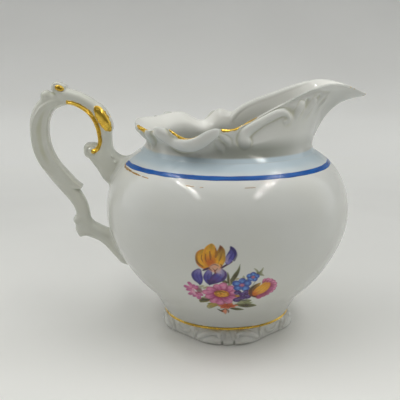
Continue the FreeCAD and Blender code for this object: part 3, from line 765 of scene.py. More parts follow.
# gold on the cheeks: how far each shape starts from the middle plane
LINE_CHEEK, BLOB_CHEEK, EYE_CHEEK = 2.7, 3.2, 2.5
LINE_HALF, LINE_OFF = 0.85, 0.15    # the inner line's half width, and how far it's off the bead's middle
LINE_ENDS = (0.2, 0.4)              # how far it starts after the bead does, and runs past its end
BLOB_HALF, BLOB_OFF = 0.95, (0.9, -0.1)    # the round end of the line, from the curl's eye
LEAF_INSET, EYE_INSET = (0.1, 0.4), (0.15, 0.1)    # how far inside their lumps the gold ends
LEAF_FROM, EYE_FROM = -53.0, 88.0   # the leaf's gold is right of here, the thumb's eye above here


def smooth_union(a, b, blend):
    """Two shapes' distances as one shape's, melted together where both are near."""
    share = np.clip(0.5 + 0.5 * (b - a) / blend, 0, 1)
    return b + (a - b) * share - blend * share * (1 - share)


def oval_distance(parts, halves, power):
    """Near a surface |u/a|^p + |v/b|^p ... = 1, how far a point is outside it."""
    shares = [np.abs(part) / half for part, half in zip(parts, halves)]
    size = np.maximum(sum(share ** power for share in shares) ** (1 / power), 0.05)
    slope = np.sqrt(sum((share ** (power - 1) / half) ** 2 for share, half in zip(shares, halves)))
    away = (size - 1) / np.maximum(slope * size ** (1 - power), 0.02)
    return np.maximum(away, -np.minimum.reduce([np.broadcast_to(half, size.shape) for half in halves]))


class Strap:
    """A strap of oval section along a smooth line in the jug's middle plane."""

    def __init__(self, stations, square, hollow=0.0, samples=260):
        self.line, self.run = path(stations, samples, place=2)
        self.tangent = unit(np.gradient(self.line[:, :2], axis=0))
        self.square = square
        self.hollow = hollow

    def nearest(self, x, z):
        """Which sample of the centreline is nearest each place."""
        return closest((x - px) ** 2 + (z - pz) ** 2 for px, pz in self.line[:, :2])[1]

    def local(self, x, z, which):
        """Distance along and off the centreline; off is positive towards the inside of the handle's loop."""
        dx = x - self.line[which, 0]
        dz = z - self.line[which, 1]
        tx, tz = self.tangent[which, 0], self.tangent[which, 1]
        ahead = dx * tx + dz * tz
        side = dz * tx - dx * tz
        ends = (which == 0) & (ahead < 0) | (which == len(self.line) - 1) & (ahead > 0)
        off = np.where(ends, np.sign(side) * np.hypot(dx, dz), side)
        return self.run[which] + np.where(ends, 0, ahead), off

    def distance(self, x, y, z, which):
        _, off = self.local(x, z, which)
        thick, wide = self.line[which, 2], self.line[which, 3]
        if self.hollow:
            deep = self.hollow * thick / self.line[:, 2].max()
            wide = wide - deep * np.clip(1 - (off / thick) ** 2, 0, 1)
        return oval_distance((off, y), (thick, wide), self.square)


def lump_distance(x, y, z, lump):
    middle, halves, tilt, power, _ = lump
    along, up = tilted(x, z, middle, tilt)
    return oval_distance((along, y, up), halves, power)


def eye_depth(x, z, eye):
    """Depth of the ring groove round a scroll's eye."""
    middle, radii, tilt, width, depth = eye
    ring = (oval_share(x, z, middle, radii, tilt) - 1) * min(radii)
    return depth * np.exp(-(ring / width) ** 2)


class HandleField:
    """The handle and the bowl's wall as one smooth field, below zero inside."""

    def __init__(self):
        self.straps = [(Strap(ARCH, STRAP_SQUARE), 0.0), (Strap(BRACKET, STRAP_SQUARE), BRACKET_BLEND),
                       (Strap(LEAF, LEAF_SQUARE, LEAF_HOLLOW), LEAF_BLEND),
                       (Strap(INNER_BEAD, BEAD_SQUARE), BEAD_BLEND)]

    def nearest(self, x, z):
        return [strap.nearest(x, z) for strap, _ in self.straps]

    def handle(self, x, y, z, found):
        total = None
        for (strap, blend), which in zip(self.straps, found):
            away = strap.distance(x, y, z, which)
            total = away if total is None else smooth_union(total, away, blend)
        for lump in LUMPS:
            total = smooth_union(total, lump_distance(x, y, z, lump), lump[4])
        for eye in EYES:
            total = total + eye_depth(x, z, eye) * smoothstep(*EYE_EDGE, np.abs(y))
        return total

    def whole(self, x, y, z, found):
        return smooth_union(self.handle(x, y, z, found), off_bowl(x, y, z), BOWL_BLEND)


def field_slope(field, points, found):
    """The field at each point and how it rises along each axis."""
    value = field(*points.T, found)
    slope = np.empty_like(points)
    for axis in range(3):
        moved = points.copy()
        moved[:, axis] += SLOPE_REACH
        slope[:, axis] = (field(*moved.T, found) - value) / SLOPE_REACH
    return value, slope


def handle_surface():
    """Triangle mesh of the handle with its two roots run out on to the bowl's wall."""
    field = HandleField()
    low = np.array([HANDLE_LOW[0] - HANDLE_MARGIN, -HANDLE_HALF, HANDLE_LOW[2] - HANDLE_MARGIN - ROOT_ROOM])
    high = np.array([ROOT_END, HANDLE_HALF, HANDLE_HIGH[2] + HANDLE_MARGIN])
    counts = np.ceil((high - low) / VOXEL).astype(int) + 1
    x, y, z = (low[i] + VOXEL * np.arange(counts[i]) for i in range(3))
    flat_x, flat_z = np.meshgrid(x, z, indexing="ij")
    found = field.nearest(flat_x, flat_z)
    values = np.empty(tuple(counts), np.float32)
    for i in range(counts[1]):
        across = np.full_like(flat_x, y[i])
        values[:, i, :] = field.whole(flat_x, across, flat_z, found)
    band = 3 * VOXEL
    grid = openvdb.FloatGrid(band)
    grid.copyFromArray(np.clip(values, -band, band))
    points, quads = grid.convertToQuads(isovalue=0.0)
    points = np.asarray(points, float) * VOXEL + low
    inner = np.all((points > low + VOXEL) & (points < high - VOXEL), axis=1)
    quads = np.asarray(quads, np.int64)[:, ::-1]
    triangles = triangles_of(quads[inner[quads].all(axis=1)])
    found = field.nearest(points[:, 0], points[:, 2])
    for _ in range(REFINE_PASSES):
        value, slope = field_slope(field.whole, points, found)
        points -= slope * (value / np.maximum((slope ** 2).sum(axis=1), LEAST_SLOPE))[:, None]
    if np.einsum("ij,ij->i", vertex_normals(points, triangles), slope).mean() < 0:
        triangles = triangles[:, ::-1]
    points, triangles, _ = clip(points, triangles, off_bowl(*points.T) - FEATHER)
    return points, triangles


def loops_of(edges):
    """Directed boundary edges, chained into closed loops."""
    follow = {int(a): int(b) for a, b in edges}
    loops = []
    while follow:
        start, at = follow.popitem()
        loop = [start]
        while at != start:
            loop.append(at)
            at = follow.pop(at)
        loops.append(loop)
    return loops


def capped(points, triangles, sink):
    """Closes a mesh's open loops, each first carried by sink(points) and then fanned to its middle."""
    rings, extra = [points], []
    total = len(points)
    for loop in loops_of(boundary_edges(triangles)):
        edge = sink(points[loop])
        count = len(loop)
        ring = total + np.arange(count)
        loop = np.array(loop)
        after = np.roll(loop, -1)
        ring_after = np.roll(ring, -1)
        middle = total + count
        rings += [edge, edge.mean(axis=0, keepdims=True)]
        extra += [np.stack([after, loop, ring], axis=1), np.stack([after, ring, ring_after], axis=1),
                  np.stack([ring_after, ring, np.full(count, middle)], axis=1)]
        total += count + 1
    return np.vstack(rings), np.vstack([triangles] + extra)


def into_wall(points):
    """Points near the bowl's wall, let into it by a few tenths of a millimetre."""
    inward = unit(points * (1, 1, 0))
    return points - inward * np.where(off_bowl(*points.T) < JOINT_REACH / 2, WALL_BITE, 0.0)[:, None]


def parts_by_side(points, triangles, low):
    """The triangles wholly on one side of the jug's mid height."""
    upper = points[triangles][:, :, 2].mean(axis=1) > MID_HEIGHT
    chosen = triangles[~upper if low else upper]
    used, packed = np.unique(chosen, return_inverse=True)
    return points[used], packed.reshape(-1, 3)


def hollows(points, triangles):
    """How far each point of a mesh sits in a hollow, where glaze pools and painted shade darkens it: 0 to 1.
    """
    ends = np.vstack([triangles[:, [0, 1]], triangles[:, [1, 2]], triangles[:, [2, 0]]])
    ends = np.vstack([ends, ends[:, ::-1]])
    count = np.bincount(ends[:, 0], minlength=len(points))
    soft = points
    for _ in range(HOLLOW_PASSES):
        soft = np.stack([np.bincount(ends[:, 0], soft[ends[:, 1], axis], len(points)) / count
                         for axis in range(3)], axis=1)
    out = ((soft - points) * vertex_normals(points, triangles)).sum(axis=1)
    return np.clip(out / HOLLOW_DEPTH, 0, 1)


def make_handle(glaze, slip, surface):
    """The handle, cut square to the bowl's wall, and the slip at each of its two roots."""
    points, triangles = surface
    reach = off_bowl(*points.T)
    # painted shade: the handle's hollows, and the whole handle a little, are darkened through Pool
    pool = np.maximum(hollows(points, triangles), HANDLE_POOL_AND_SHADE)
    casting, casting_faces, carry = clip(points, triangles, reach - JOINT_REACH)
    casting_pool = carry(pool)
    closed, closed_faces = capped(casting, casting_faces, lambda edge: edge)
    obj = make_mesh("handle_glazed", closed, closed_faces,
                    pool=np.append(casting_pool, np.zeros(len(closed) - len(casting_pool))))
    finish_piece(obj, glaze, "handle")
    roots, root_faces, _ = clip(points, triangles, JOINT_REACH - reach)
    for node, low in (("upper_handle_joint", False), ("lower_handle_joint", True)):
        joint, faces = parts_by_side(roots, root_faces, low)
        joint, faces = capped(joint, faces, into_wall)
        obj = make_mesh(node + "_slip", joint, faces, pool=np.zeros(len(joint)))
        finish_piece(obj, slip, node)
    return casting, casting_faces


def make_handle_gilding(material, surface):
    """Gold on both cheeks: the line on the inner bead, the leaf, and the thumb scroll's eye."""
    points, triangles = surface
    normals = vertex_normals(points, triangles)
    x, y, z = points.T
    cheek = np.abs(y)
    bead = Strap(INNER_BEAD, BEAD_SQUARE)
    run, off = bead.local(x, z, bead.nearest(x, z))
    brush = 0.09 * waves(11, run * 1.3) + 0.05 * waves(12, x * 3, z * 3)
    line = np.minimum(LINE_HALF + brush - np.abs(off - LINE_OFF), cheek - LINE_CHEEK)
    line = np.minimum(line, np.minimum(run - LINE_ENDS[0], bead.run[-1] + LINE_ENDS[1] - run))
    along, up = CURL_EYE[0]
    blob = BLOB_HALF - np.hypot(x - along - BLOB_OFF[0], z - up - BLOB_OFF[1])
    line = np.maximum(line, np.minimum(blob, cheek - BLOB_CHEEK))
    middle, (half_x, _, half_z), tilt, _, _ = GILT_LEAF
    inner = half_x - LEAF_INSET[0], half_z - LEAF_INSET[1]
    leaf = 1 - oval_share(x, z, middle, inner, tilt) + 0.05 * waves(13, x * 2, z * 2)
    middle, (half_x, half_z), tilt, _, _ = THUMB_EYE
    inner = half_x - EYE_INSET[0], half_z - EYE_INSET[1]
    eye = np.minimum(1 - oval_share(x, z, middle, inner, tilt), cheek - EYE_CHEEK)
    films = (("handle_inner_gold_line", line, cheek >= 0), ("handle_gold_leaf", leaf, x > LEAF_FROM),
             ("thumb_scroll_gold_eye", eye, z > EYE_FROM))
    for node, field, here in films:
        shape, faces, carry = clip(points, triangles, np.where(here, field, -1.0))
        shell, shell_faces = film_shell(shape, faces, unit(carry(normals)), GOLD_LIFT)
        obj = make_mesh(node + "_gilt", shell, shell_faces)
        finish_piece(obj, material, node)


# --- Enamel and gold on the bowl and the rim ----------------------------------------------------------
BAND_END = 169.4      # the bands stop here, beside the handle's root: degrees off the spout's side
BLUE_LOW, BLUE_HIGH = (corner[2] for corner in node_box("blue_shoulder_line"))
PALE_LOW, PALE_HIGH = (corner[2] for corner in node_box("pale_blue_shoulder_band"))
# the worn gold line under the blue one: from and to (degrees), half width, on both sides of the jug
SHOULDER_GOLD = [(-169.0, -151.0, 0.26), (-151.5, -141.0, 0.2), (-140.0, -134.5, 0.13),
                 (-112.0, -107.5, 0.09), (-105.0, -103.0, 0.08), (-84.0, -78.5, 0.08),
                 (41.0, 57.0, 0.12), (60.0, 75.0, 0.1), (119.0, 133.0, 0.16), (135.0, 168.0, 0.3)]
# its middle height, by degrees off the middle of the handle's side
SHOULDER_GOLD_HEIGHT = [(10, 65.1), (16, 64.4), (30, 64.15), (43, 63.7), (70, 62.9), (180, 62.9)]
FOOT_GOLD_LOW, FOOT_GOLD_HIGH = FOOT_TOP + 0.02, FOOT_TOP + 1.15
FOOT_GOLD_SWELL = 0.42    # the gold lies on a fine bead in the seam
# brushed gold on the rim: from and to along it from the spout's tip, half width, and how far inside the
# crest.  The far side has all but the first two strokes.
RIM_GOLD = [(98.3, 107.2, 1.0, -0.4), (90.8, 93.3, 0.6, -0.1), (74.4, 87.6, 0.85, 0.05),
            (59.6, 66.8, 0.9, -0.1), (52.3, 60.4, 0.32, 0.0), (8.7, 9.3, 0.2, 0.0),
            (6.8, 7.3, 0.18, -0.1), (-0.3, 0.5, 0.22, 0.0)]
FAR_RIM_SHIFT = -1.0    # on the far rim it lies further out
BLUE_WANDER = 0.05      # how unsteadily the blue line is banded
SPRAY_OVER, SPRAY_UNDER = 0.1, 0.12    # the pale band's spray runs this far past its node
RIM_STROKE_ROWS = 11
GOLD_STEP, RIM_GOLD_STEP = 0.12, 0.14    # between samples along a stroke: degrees, and millimetres
THINNEST, THINNEST_ON_RIM = 0.02, 0.03   # half the width of a stroke where it runs out


def bowl_normal(angle, height):
    """Unit steps off the bowl's wall."""
    return on_bowl(angle, height, 1.0) - on_bowl(angle, height)


def bowl_film(angle, low, high, lift, rows=9, swell=0.0):
    """A film on the bowl from low to high at each angle: points, triangles and the share up the film."""
    share = np.linspace(0, 1, rows)[:, None] + 0 * angle[None, :]
    height = low + (high - low) * share
    around = angle[None, :] + 0 * height
    triangles = triangles_of(grid_faces(rows, len(angle), closed_columns=False))
    facing = bowl_normal(around, height)
    shape = on_bowl(around, height) + facing * (swell * np.sin(math.pi * share))[..., None]
    points, faces = film_shell(shape.reshape(-1, 3), triangles, facing.reshape(-1, 3), lift)
    return points, faces, np.tile(share.ravel(), 2)


def joined(shells):
    """Several meshes as one."""
    start = np.cumsum([0] + [len(shell[0]) for shell in shells[:-1]])
    return (np.vstack([shell[0] for shell in shells]),
            np.vstack([shell[1] + offset for shell, offset in zip(shells, start)]))


def tapered(share, sharpness=6):
    """How full a brush stroke is along its length, from 0 to 1: it starts and ends rounded."""
    return np.sqrt(np.clip(1 - np.abs(2 * share - 1) ** sharpness, 0.002, 1))


def brushed(degrees, low, high, wander, seed, sharpness=400):
    """Low and high edge of a banded line, with the brush's wander and its rounded ends."""
    full = tapered(np.linspace(0, 1, len(degrees)), sharpness)
    middle = (low + high) / 2 + wander * waves(seed, degrees * 0.06)
    half = (high - low) / 2 * full * (1 + 0.06 * waves(seed + 1, degrees * 0.3))
    return middle - half, middle + half


def make_bands(blue, pale, worn, gilt):
    degrees = np.linspace(-BAND_END, BAND_END, 1400)
    angle = np.radians(degrees)
    low, high = brushed(degrees, BLUE_LOW, BLUE_HIGH, BLUE_WANDER, 21)
    points, faces, _ = bowl_film(angle, low, high, ENAMEL_LIFT)
    obj = make_mesh("blue_line_banded", points, faces)
    finish_piece(obj, blue, "blue_shoulder_line")

    low, high = brushed(degrees, PALE_LOW - SPRAY_UNDER, PALE_HIGH + SPRAY_OVER, 0.0, 31)
    points, faces, share = bowl_film(angle, low, high, PALE_LIFT, rows=24)
    obj = make_mesh("pale_band_sprayed", points, faces, pool=share)
    finish_piece(obj, pale, "pale_blue_shoulder_band")

    strokes = []
    for number, (start, end, half) in enumerate(SHOULDER_GOLD):
        degrees = np.arange(start, end, GOLD_STEP)
        off_handle = 180 - np.abs(degrees)
        middle = np.interp(off_handle, *np.array(SHOULDER_GOLD_HEIGHT).T)
        middle = middle + 0.08 * waves(40 + number, degrees * 0.4)
        size = half * tapered(np.linspace(0, 1, len(degrees))) * (1 + 0.2 * waves(60 + number, degrees * 1.1))
        size = np.maximum(size, THINNEST)
        strokes.append(bowl_film(np.radians(degrees), middle - size, middle + size, WORN_LIFT, rows=6))
    points, faces = joined(strokes)
    finish_piece(make_mesh("shoulder_gold_worn", points, faces), worn, "shoulder_gold_line")

    degrees = np.linspace(0, 360, 1300)
    closing = np.minimum(degrees, 360 - degrees)
    low = FOOT_GOLD_LOW + 0.06 * waves(71, closing * 0.08)
    high = FOOT_GOLD_HIGH + 0.09 * waves(72, closing * 0.12)
    points, faces, _ = bowl_film(np.radians(degrees), low, high, GOLD_LIFT, rows=12, swell=FOOT_GOLD_SWELL)
    finish_piece(make_mesh("foot_gold_banded", points, faces), gilt, "foot_gold_line")


def rim_stroke(surface, stroke, far, number):
    """One brush stroke of gold along the rim, laid on the neck's own surface."""
    grid, normals, rows, distance, _ = surface
    start, end, half, inside = stroke
    along = np.arange(start, end, RIM_GOLD_STEP)
    column = along / distance[HALF_COLUMNS] * HALF_COLUMNS * (-1 if far else 1)
    low = np.floor(column).astype(int)
    share = (column - low)[None, :, None]
    columns = grid.shape[1]

    def between(values):
        return values[:, low % columns] * (1 - share) + values[:, (low + 1) % columns] * share

    shape, facing = between(grid), unit(between(normals))
    crest = int(np.argmin(np.abs(rows - CREST)))
    steps = np.linalg.norm(np.diff(shape, axis=0), axis=2)
    run = np.vstack([np.zeros(len(along)), np.cumsum(steps, axis=0)])
    run = run - run[crest]
    size = half * tapered(np.linspace(0, 1, len(along)), 4)
    edge = 0.14 * half * waves(80 + number, along * 1.6) + 0.1 * half * waves(95 + number, along * 4)
    middle = inside + (FAR_RIM_SHIFT if far else 0.0) + 0.05 * waves(110 + number, along * 0.7)
    half_width = np.maximum(size + edge, THINNEST_ON_RIM)[None, :]
    across = np.linspace(-1, 1, RIM_STROKE_ROWS)[:, None] * half_width + middle[None, :]
    points = np.empty(across.shape + (3,))
    facings = np.empty_like(points)
    for i in range(len(along)):
        for axis in range(3):
            points[:, i, axis] = np.interp(across[:, i], run[:, i], shape[:, i, axis])
            facings[:, i, axis] = np.interp(across[:, i], run[:, i], facing[:, i, axis])
    triangles = triangles_of(grid_faces(*across.shape, closed_columns=False))
    points, facings = points.reshape(-1, 3), unit(facings.reshape(-1, 3))
    if np.einsum("ij,ij->i", vertex_normals(points, triangles), facings).mean() < 0:
        triangles = triangles[:, ::-1]
    return film_shell(points, triangles, facings, GOLD_LIFT)


def make_rim_gilding(material, surface):
    strokes = [rim_stroke(surface, stroke, far, number)
               for far in (False, True) for number, stroke in enumerate(RIM_GOLD[2 * far:])]
    points, faces = joined(strokes)
    finish_piece(make_mesh("rim_gilding_brushed", points, faces), material, "rim_gilding")


# --- Bouquet ------------------------------------------------------------------------------------------
# The transfer is painted in millimetres on the bowl's wall: across to the right, and up along the wall
# from BOUQUET_FOOT.  Colours are sRGB, from 0 to 255.
BOUQUET_FOOT = 28.0
BOUQUET_LOW, BOUQUET_HIGH = (-17.4, -19.6), (17.6, 19.4)
PAINT_STEP = 0.14
LEAST_BRUSH = 0.07    # the finest brush line's half width
PRINT_EDGE = 0.04     # the print ends where the paint covers less than this
BOUQUET_ANGLES = {"flower_transfer_front": -90.5, "flower_transfer_back": 89.5}
PAINTS = {
    "yellow": (242, 176, 28), "orange": (210, 108, 6), "brown": (120, 56, 12), "olive": (188, 142, 36),
    "indigo": (40, 26, 96), "blue_violet": (78, 72, 160), "lavender": (132, 122, 186),
    "pale_violet": (186, 172, 204), "dark_purple": (54, 24, 72), "peach": (222, 174, 146),
    "red_brown": (128, 60, 34), "mauve": (186, 92, 144), "pink": (220, 134, 172),
    "light_pink": (236, 180, 204), "crimson": (154, 42, 84), "disc": (228, 150, 34),
    "disc_light": (236, 176, 58), "disc_dark": (96, 42, 12), "blue": (66, 104, 190),
    "light_blue": (108, 160, 226), "deep_blue": (46, 52, 132), "purple": (84, 48, 120),
    "leaf": (124, 130, 86), "leaf_dark": (74, 66, 42), "leaf_pale": (166, 170, 128),
    "leaf_yellow": (178, 152, 66),
    "orange_red": (206, 88, 46), "salmon": (232, 142, 104), "beige": (212, 168, 138), "stem": (84, 50, 58),
    "cup": (112, 54, 22), "grey_green": (104, 98, 90),
}


def paint_colour(name):
    share = np.array(PAINTS[name]) / 255
    return np.where(share <= 0.04045, share / 12.92, ((share + 0.055) / 1.055) ** 2.4)


def blended(names, share):
    """Colour at each share (0 to 1) of the way through a list of paints."""
    colours = np.array([paint_colour(name) for name in names])
    at = np.clip(share, 0, 1) * (len(names) - 1)
    low = np.minimum(at.astype(int), max(len(names) - 2, 0))
    high = np.minimum(low + 1, len(names) - 1)
    return colours[low] + (colours[high] - colours[low]) * (at - low)[..., None]


def tint(colour, name, share):
    """Turns a colour towards a paint by a share at each place."""
    colour += (paint_colour(name) - colour) * share[..., None]


def paint_window(low, high):
    """The part of the painting's grid between two corners."""
    first = [int((low[i] - BOUQUET_LOW[i]) / PAINT_STEP) for i in (0, 1)]
    last = [int((high[i] - BOUQUET_LOW[i]) / PAINT_STEP) + 2 for i in (0, 1)]
    return slice(max(first[1], 0), last[1]), slice(max(first[0], 0), last[0])


class Painting:
    """A fine grid of paint on the bowl's wall."""

    def __init__(self):
        across = np.arange(BOUQUET_LOW[0], BOUQUET_HIGH[0], PAINT_STEP)
        up = np.arange(BOUQUET_LOW[1], BOUQUET_HIGH[1], PAINT_STEP)
        self.across, self.up = np.meshgrid(across, up)
        self.colour = np.ones(self.across.shape + (3,))
        self.cover = np.zeros(self.across.shape)
        self.hand = waves(5, self.across * 1.1, self.up * 1.1)
        self.grain = waves(6, self.across * 3.4, self.up * 3.4, count=16)

    def lay(self, window, cover, colour):
        """Paint over part of the grid, where it covers."""
        old = self.cover[window]
        total = cover + old * (1 - cover)
        share = (cover / np.maximum(total, 1e-6))[..., None]
        self.colour[window] = colour * share + self.colour[window] * (1 - share)
        self.cover[window] = total

    def petal(self, stops, colours, edge=None, rim=0.5, veins=None, vein="brown", fill=1.0, soft=0.4,
              light=0.0):
        """A petal, leaf or brush line along stops (across, up, half width), blended through its colours
        from first stop to last, with a darker edge, veins, and one side lighter than the other."""
        line, _ = path(stops, 70, place=2)
        line[:, 2] = np.maximum(line[:, 2], LEAST_BRUSH)
        margin = line[:, 2].max() + soft
        window = paint_window(line[:, :2].min(axis=0) - margin, line[:, :2].max(axis=0) + margin)
        u, v = self.across[window], self.up[window]
        gap, which = closest(np.hypot(u - pu, v - pv) - half for pu, pv, half in line)
        tangent = unit(np.gradient(line[:, :2], axis=0))
        off = (v - line[which, 1]) * tangent[which, 0] - (u - line[which, 0]) * tangent[which, 1]
        half = line[which, 2]
        off = off / half
        wander = 0.06 * self.hand[window]
        cover = smoothstep(soft / 2, -soft / 2, gap + wander) * fill
        along = which / (len(line) - 1)
        colour = blended(colours, along)
        inward = np.clip(-gap / np.maximum(half, 0.1), 0, 1)
        if edge:
            tint(colour, edge, rim * (1 - smoothstep(0.0, 0.55, inward)))
        if veins:
            lines = np.clip(np.cos(math.pi * veins * off + 0.6 * self.hand[window]), 0, 1) ** 3
            tint(colour, vein, 0.55 * lines * smoothstep(0.02, 0.2, along) * smoothstep(1.0, 0.7, along))
        colour = colour * (1 + light * np.clip(off, -1, 1))[..., None]
        self.lay(window, cover, np.clip(colour, 0, 1))

    def disc(self, middle, halves, tilt, colours, fill=1.0, soft=0.3, speckle=None, share=0.0):
        """A round or oval spot, blended from its middle outwards, speckled with another paint."""
        reach = max(halves) + soft
        window = paint_window((middle[0] - reach, middle[1] - reach), (middle[0] + reach, middle[1] + reach))
        size = oval_share(self.across[window], self.up[window], middle, halves, tilt)
        size = size + 0.05 * self.hand[window]
        half = soft / min(halves) / 2
        cover = smoothstep(1 + half, 1 - half, size) * fill
        colour = blended(colours, np.clip(size, 0, 1))
        if speckle:
            tint(colour, speckle, share * smoothstep(0.1, 0.7, self.grain[window]))
        self.lay(window, cover, colour)

    def rosette(self, middle, petals, colours, edge, half, veins=None, inner=0.25):
        """Petals from a middle out to their tips."""
        for number, (u, v, size) in enumerate(petals):
            du, dv = u - middle[0], v - middle[1]
            stops = [(middle[0] + inner * du, middle[1] + inner * dv, 0.35 * half * size),
                     (middle[0] + 0.62 * du, middle[1] + 0.62 * dv, half * size),
                     (middle[0] + 0.86 * du, middle[1] + 0.86 * dv, 0.86 * half * size)]
            self.petal(stops, colours, edge=edge, veins=veins, vein=edge, light=0.12 * (-1) ** number)


def paint_leaves(p):
    """Leaves, sprigs and stems: (stops, colours, edge)."""
    leaf, pale = ("leaf_dark", "leaf"), ("leaf", "leaf_pale")
    veined = {"veins": 1, "vein": "leaf_dark"}
    p.petal([(-0.2, 1.2, 0.5), (0.7, 3.6, 0.85), (1.9, 6.2, 0.8), (2.8, 8.4, 0.5), (3.3, 10.9, 0.12)],
            ("leaf", "leaf_dark", "leaf"), edge="leaf", rim=0.6, light=0.2, **veined)
    p.petal([(-0.5, 2.6, 0.3), (-1.6, 3.0, 0.7), (-2.8, 4.4, 0.15)], leaf, edge="leaf", **veined)
    p.petal([(-0.4, 2.6, 0.3), (-0.5, 4.8, 0.55), (-0.8, 7.4, 0.1)], leaf, edge="leaf", **veined)
    p.petal([(0.1, -1.0, 0.16), (0.2, 1.5, 0.16), (-0.1, 4.2, 0.12)], ("leaf_pale", "beige"), fill=0.8)
    p.petal([(6.2, -0.9, 0.14), (8.2, 1.5, 0.16), (8.9, 3.2, 0.14)], ("leaf", "leaf_dark"), fill=0.6)
    p.petal([(4.2, 3.6, 0.25), (4.6, 4.6, 0.45), (4.6, 5.8, 0.1)], pale, edge="leaf", fill=0.8)
    p.petal([(6.9, 4.6, 0.2), (6.0, 3.9, 0.4), (5.6, 3.2, 0.15)], ("leaf", "leaf_dark"), fill=0.8)
    for stops in ([(8.7, 5.9, 0.3), (9.4, 6.8, 0.45), (8.2, 8.9, 0.12)],
                  [(9.0, 6.2, 0.3), (10.3, 7.1, 0.5), (11.3, 8.9, 0.12)],
                  [(9.2, 5.9, 0.3), (10.4, 6.0, 0.5), (11.7, 5.3, 0.12)],
                  [(9.0, 6.0, 0.3), (9.8, 6.6, 0.55), (11.0, 6.7, 0.2)]):
        p.petal(stops, ("leaf_dark", "leaf", "leaf_pale"), edge="leaf", fill=0.85)
    p.petal([(-6.2, -6.4, 0.6), (-7.9, -7.3, 1.6), (-9.1, -8.4, 1.5), (-9.9, -9.9, 0.3)],
            ("leaf_dark", "leaf_dark", "leaf"), edge="leaf_yellow", light=0.2, **veined)
    p.petal([(-9.3, -6.4, 0.3), (-8.4, -6.3, 0.7), (-7.0, -6.2, 0.4)], pale[::-1], edge="leaf_dark")
    p.petal([(-3.8, -10.0, 0.8), (-5.4, -11.3, 1.5), (-6.5, -12.8, 1.3), (-7.0, -14.4, 0.3)],
            ("leaf_yellow", "leaf_yellow", "leaf_pale"), edge="leaf", veins=1, vein="leaf", light=-0.2)
    p.petal([(-5.4, -9.8, 0.4), (-6.6, -10.3, 0.6), (-7.6, -10.9, 0.15)], ("leaf_yellow", "leaf"),
            edge="leaf")
    p.petal([(2.6, -10.5, 0.5), (4.8, -11.3, 1.5), (7.4, -12.0, 1.7), (9.7, -12.6, 0.4)],
            ("leaf", "leaf_dark", "leaf"), edge="leaf_pale", light=0.25, **veined)
    p.petal([(3.4, -9.6, 0.5), (5.4, -8.5, 1.3), (7.8, -8.0, 0.3)], pale[::-1], edge="leaf",
            veins=1, vein="leaf")
    p.petal([(5.4, -9.2, 0.3), (6.8, -9.6, 0.7), (8.6, -9.3, 0.12)], pale, edge="leaf_dark")
    p.petal([(0.9, -13.8, 0.4), (2.8, -14.5, 1.0), (5.4, -15.3, 0.2)], leaf, edge="leaf_dark", **veined)
    p.petal([(-3.9, -14.6, 0.15), (-2.6, -16.0, 0.4), (-0.8, -17.6, 0.12)], ("leaf_dark",))
    p.petal([(-9.6, -2.6, 0.14), (-8.6, -2.0, 0.2), (-7.6, -2.0, 0.14)], ("leaf_pale", "leaf"), fill=0.8)
    for u, v in ((-9.4, 0.3), (-7.7, 0.0), (-8.6, -0.6), (2.5, 4.4)):
        p.disc((u, v), (0.75, 0.5), 20, ("leaf", "leaf_yellow"), fill=0.7, soft=0.5)
    p.disc((-10.8, -0.9), (1.4, 1.3), 0, ("grey_green", "leaf"), fill=0.65, soft=0.9)


def paint_low_blossoms(p):
    middle = (-0.6, -11.5)
    for u, v, size in ((-3.5, -11.8, 1.0), (-2.6, -13.9, 0.95), (-0.3, -14.1, 1.0), (2.2, -12.9, 0.9),
                       (3.0, -11.4, 0.9), (1.0, -9.6, 1.0), (-2.4, -9.8, 1.0)):
        p.petal([(middle[0], middle[1], 0.5), (u * 0.6 + middle[0] * 0.4, v * 0.6 + middle[1] * 0.4, size),
                 (u, v, 0.35)], ("orange_red", "orange_red", "salmon"), edge="red_brown", veins=2)
    p.disc((-0.7, -11.0), (0.9, 0.8), 0, ("red_brown", "orange_red"), soft=0.5)
    p.petal([(-1.0, -14.0, 0.5), (-1.3, -15.6, 0.85), (-1.1, -17.2, 0.6), (-1.0, -18.5, 0.12)],
            ("beige", "salmon", "beige"), edge="red_brown", rim=0.35, veins=1, vein="salmon")
    for u, v in ((-2.3, -15.9), (0.0, -16.4)):
        p.petal([(-1.0, -14.2, 0.2), (u, v, 0.4), (u * 0.9, v - 1.2, 0.1)], ("leaf_dark", "brown"), fill=0.8)


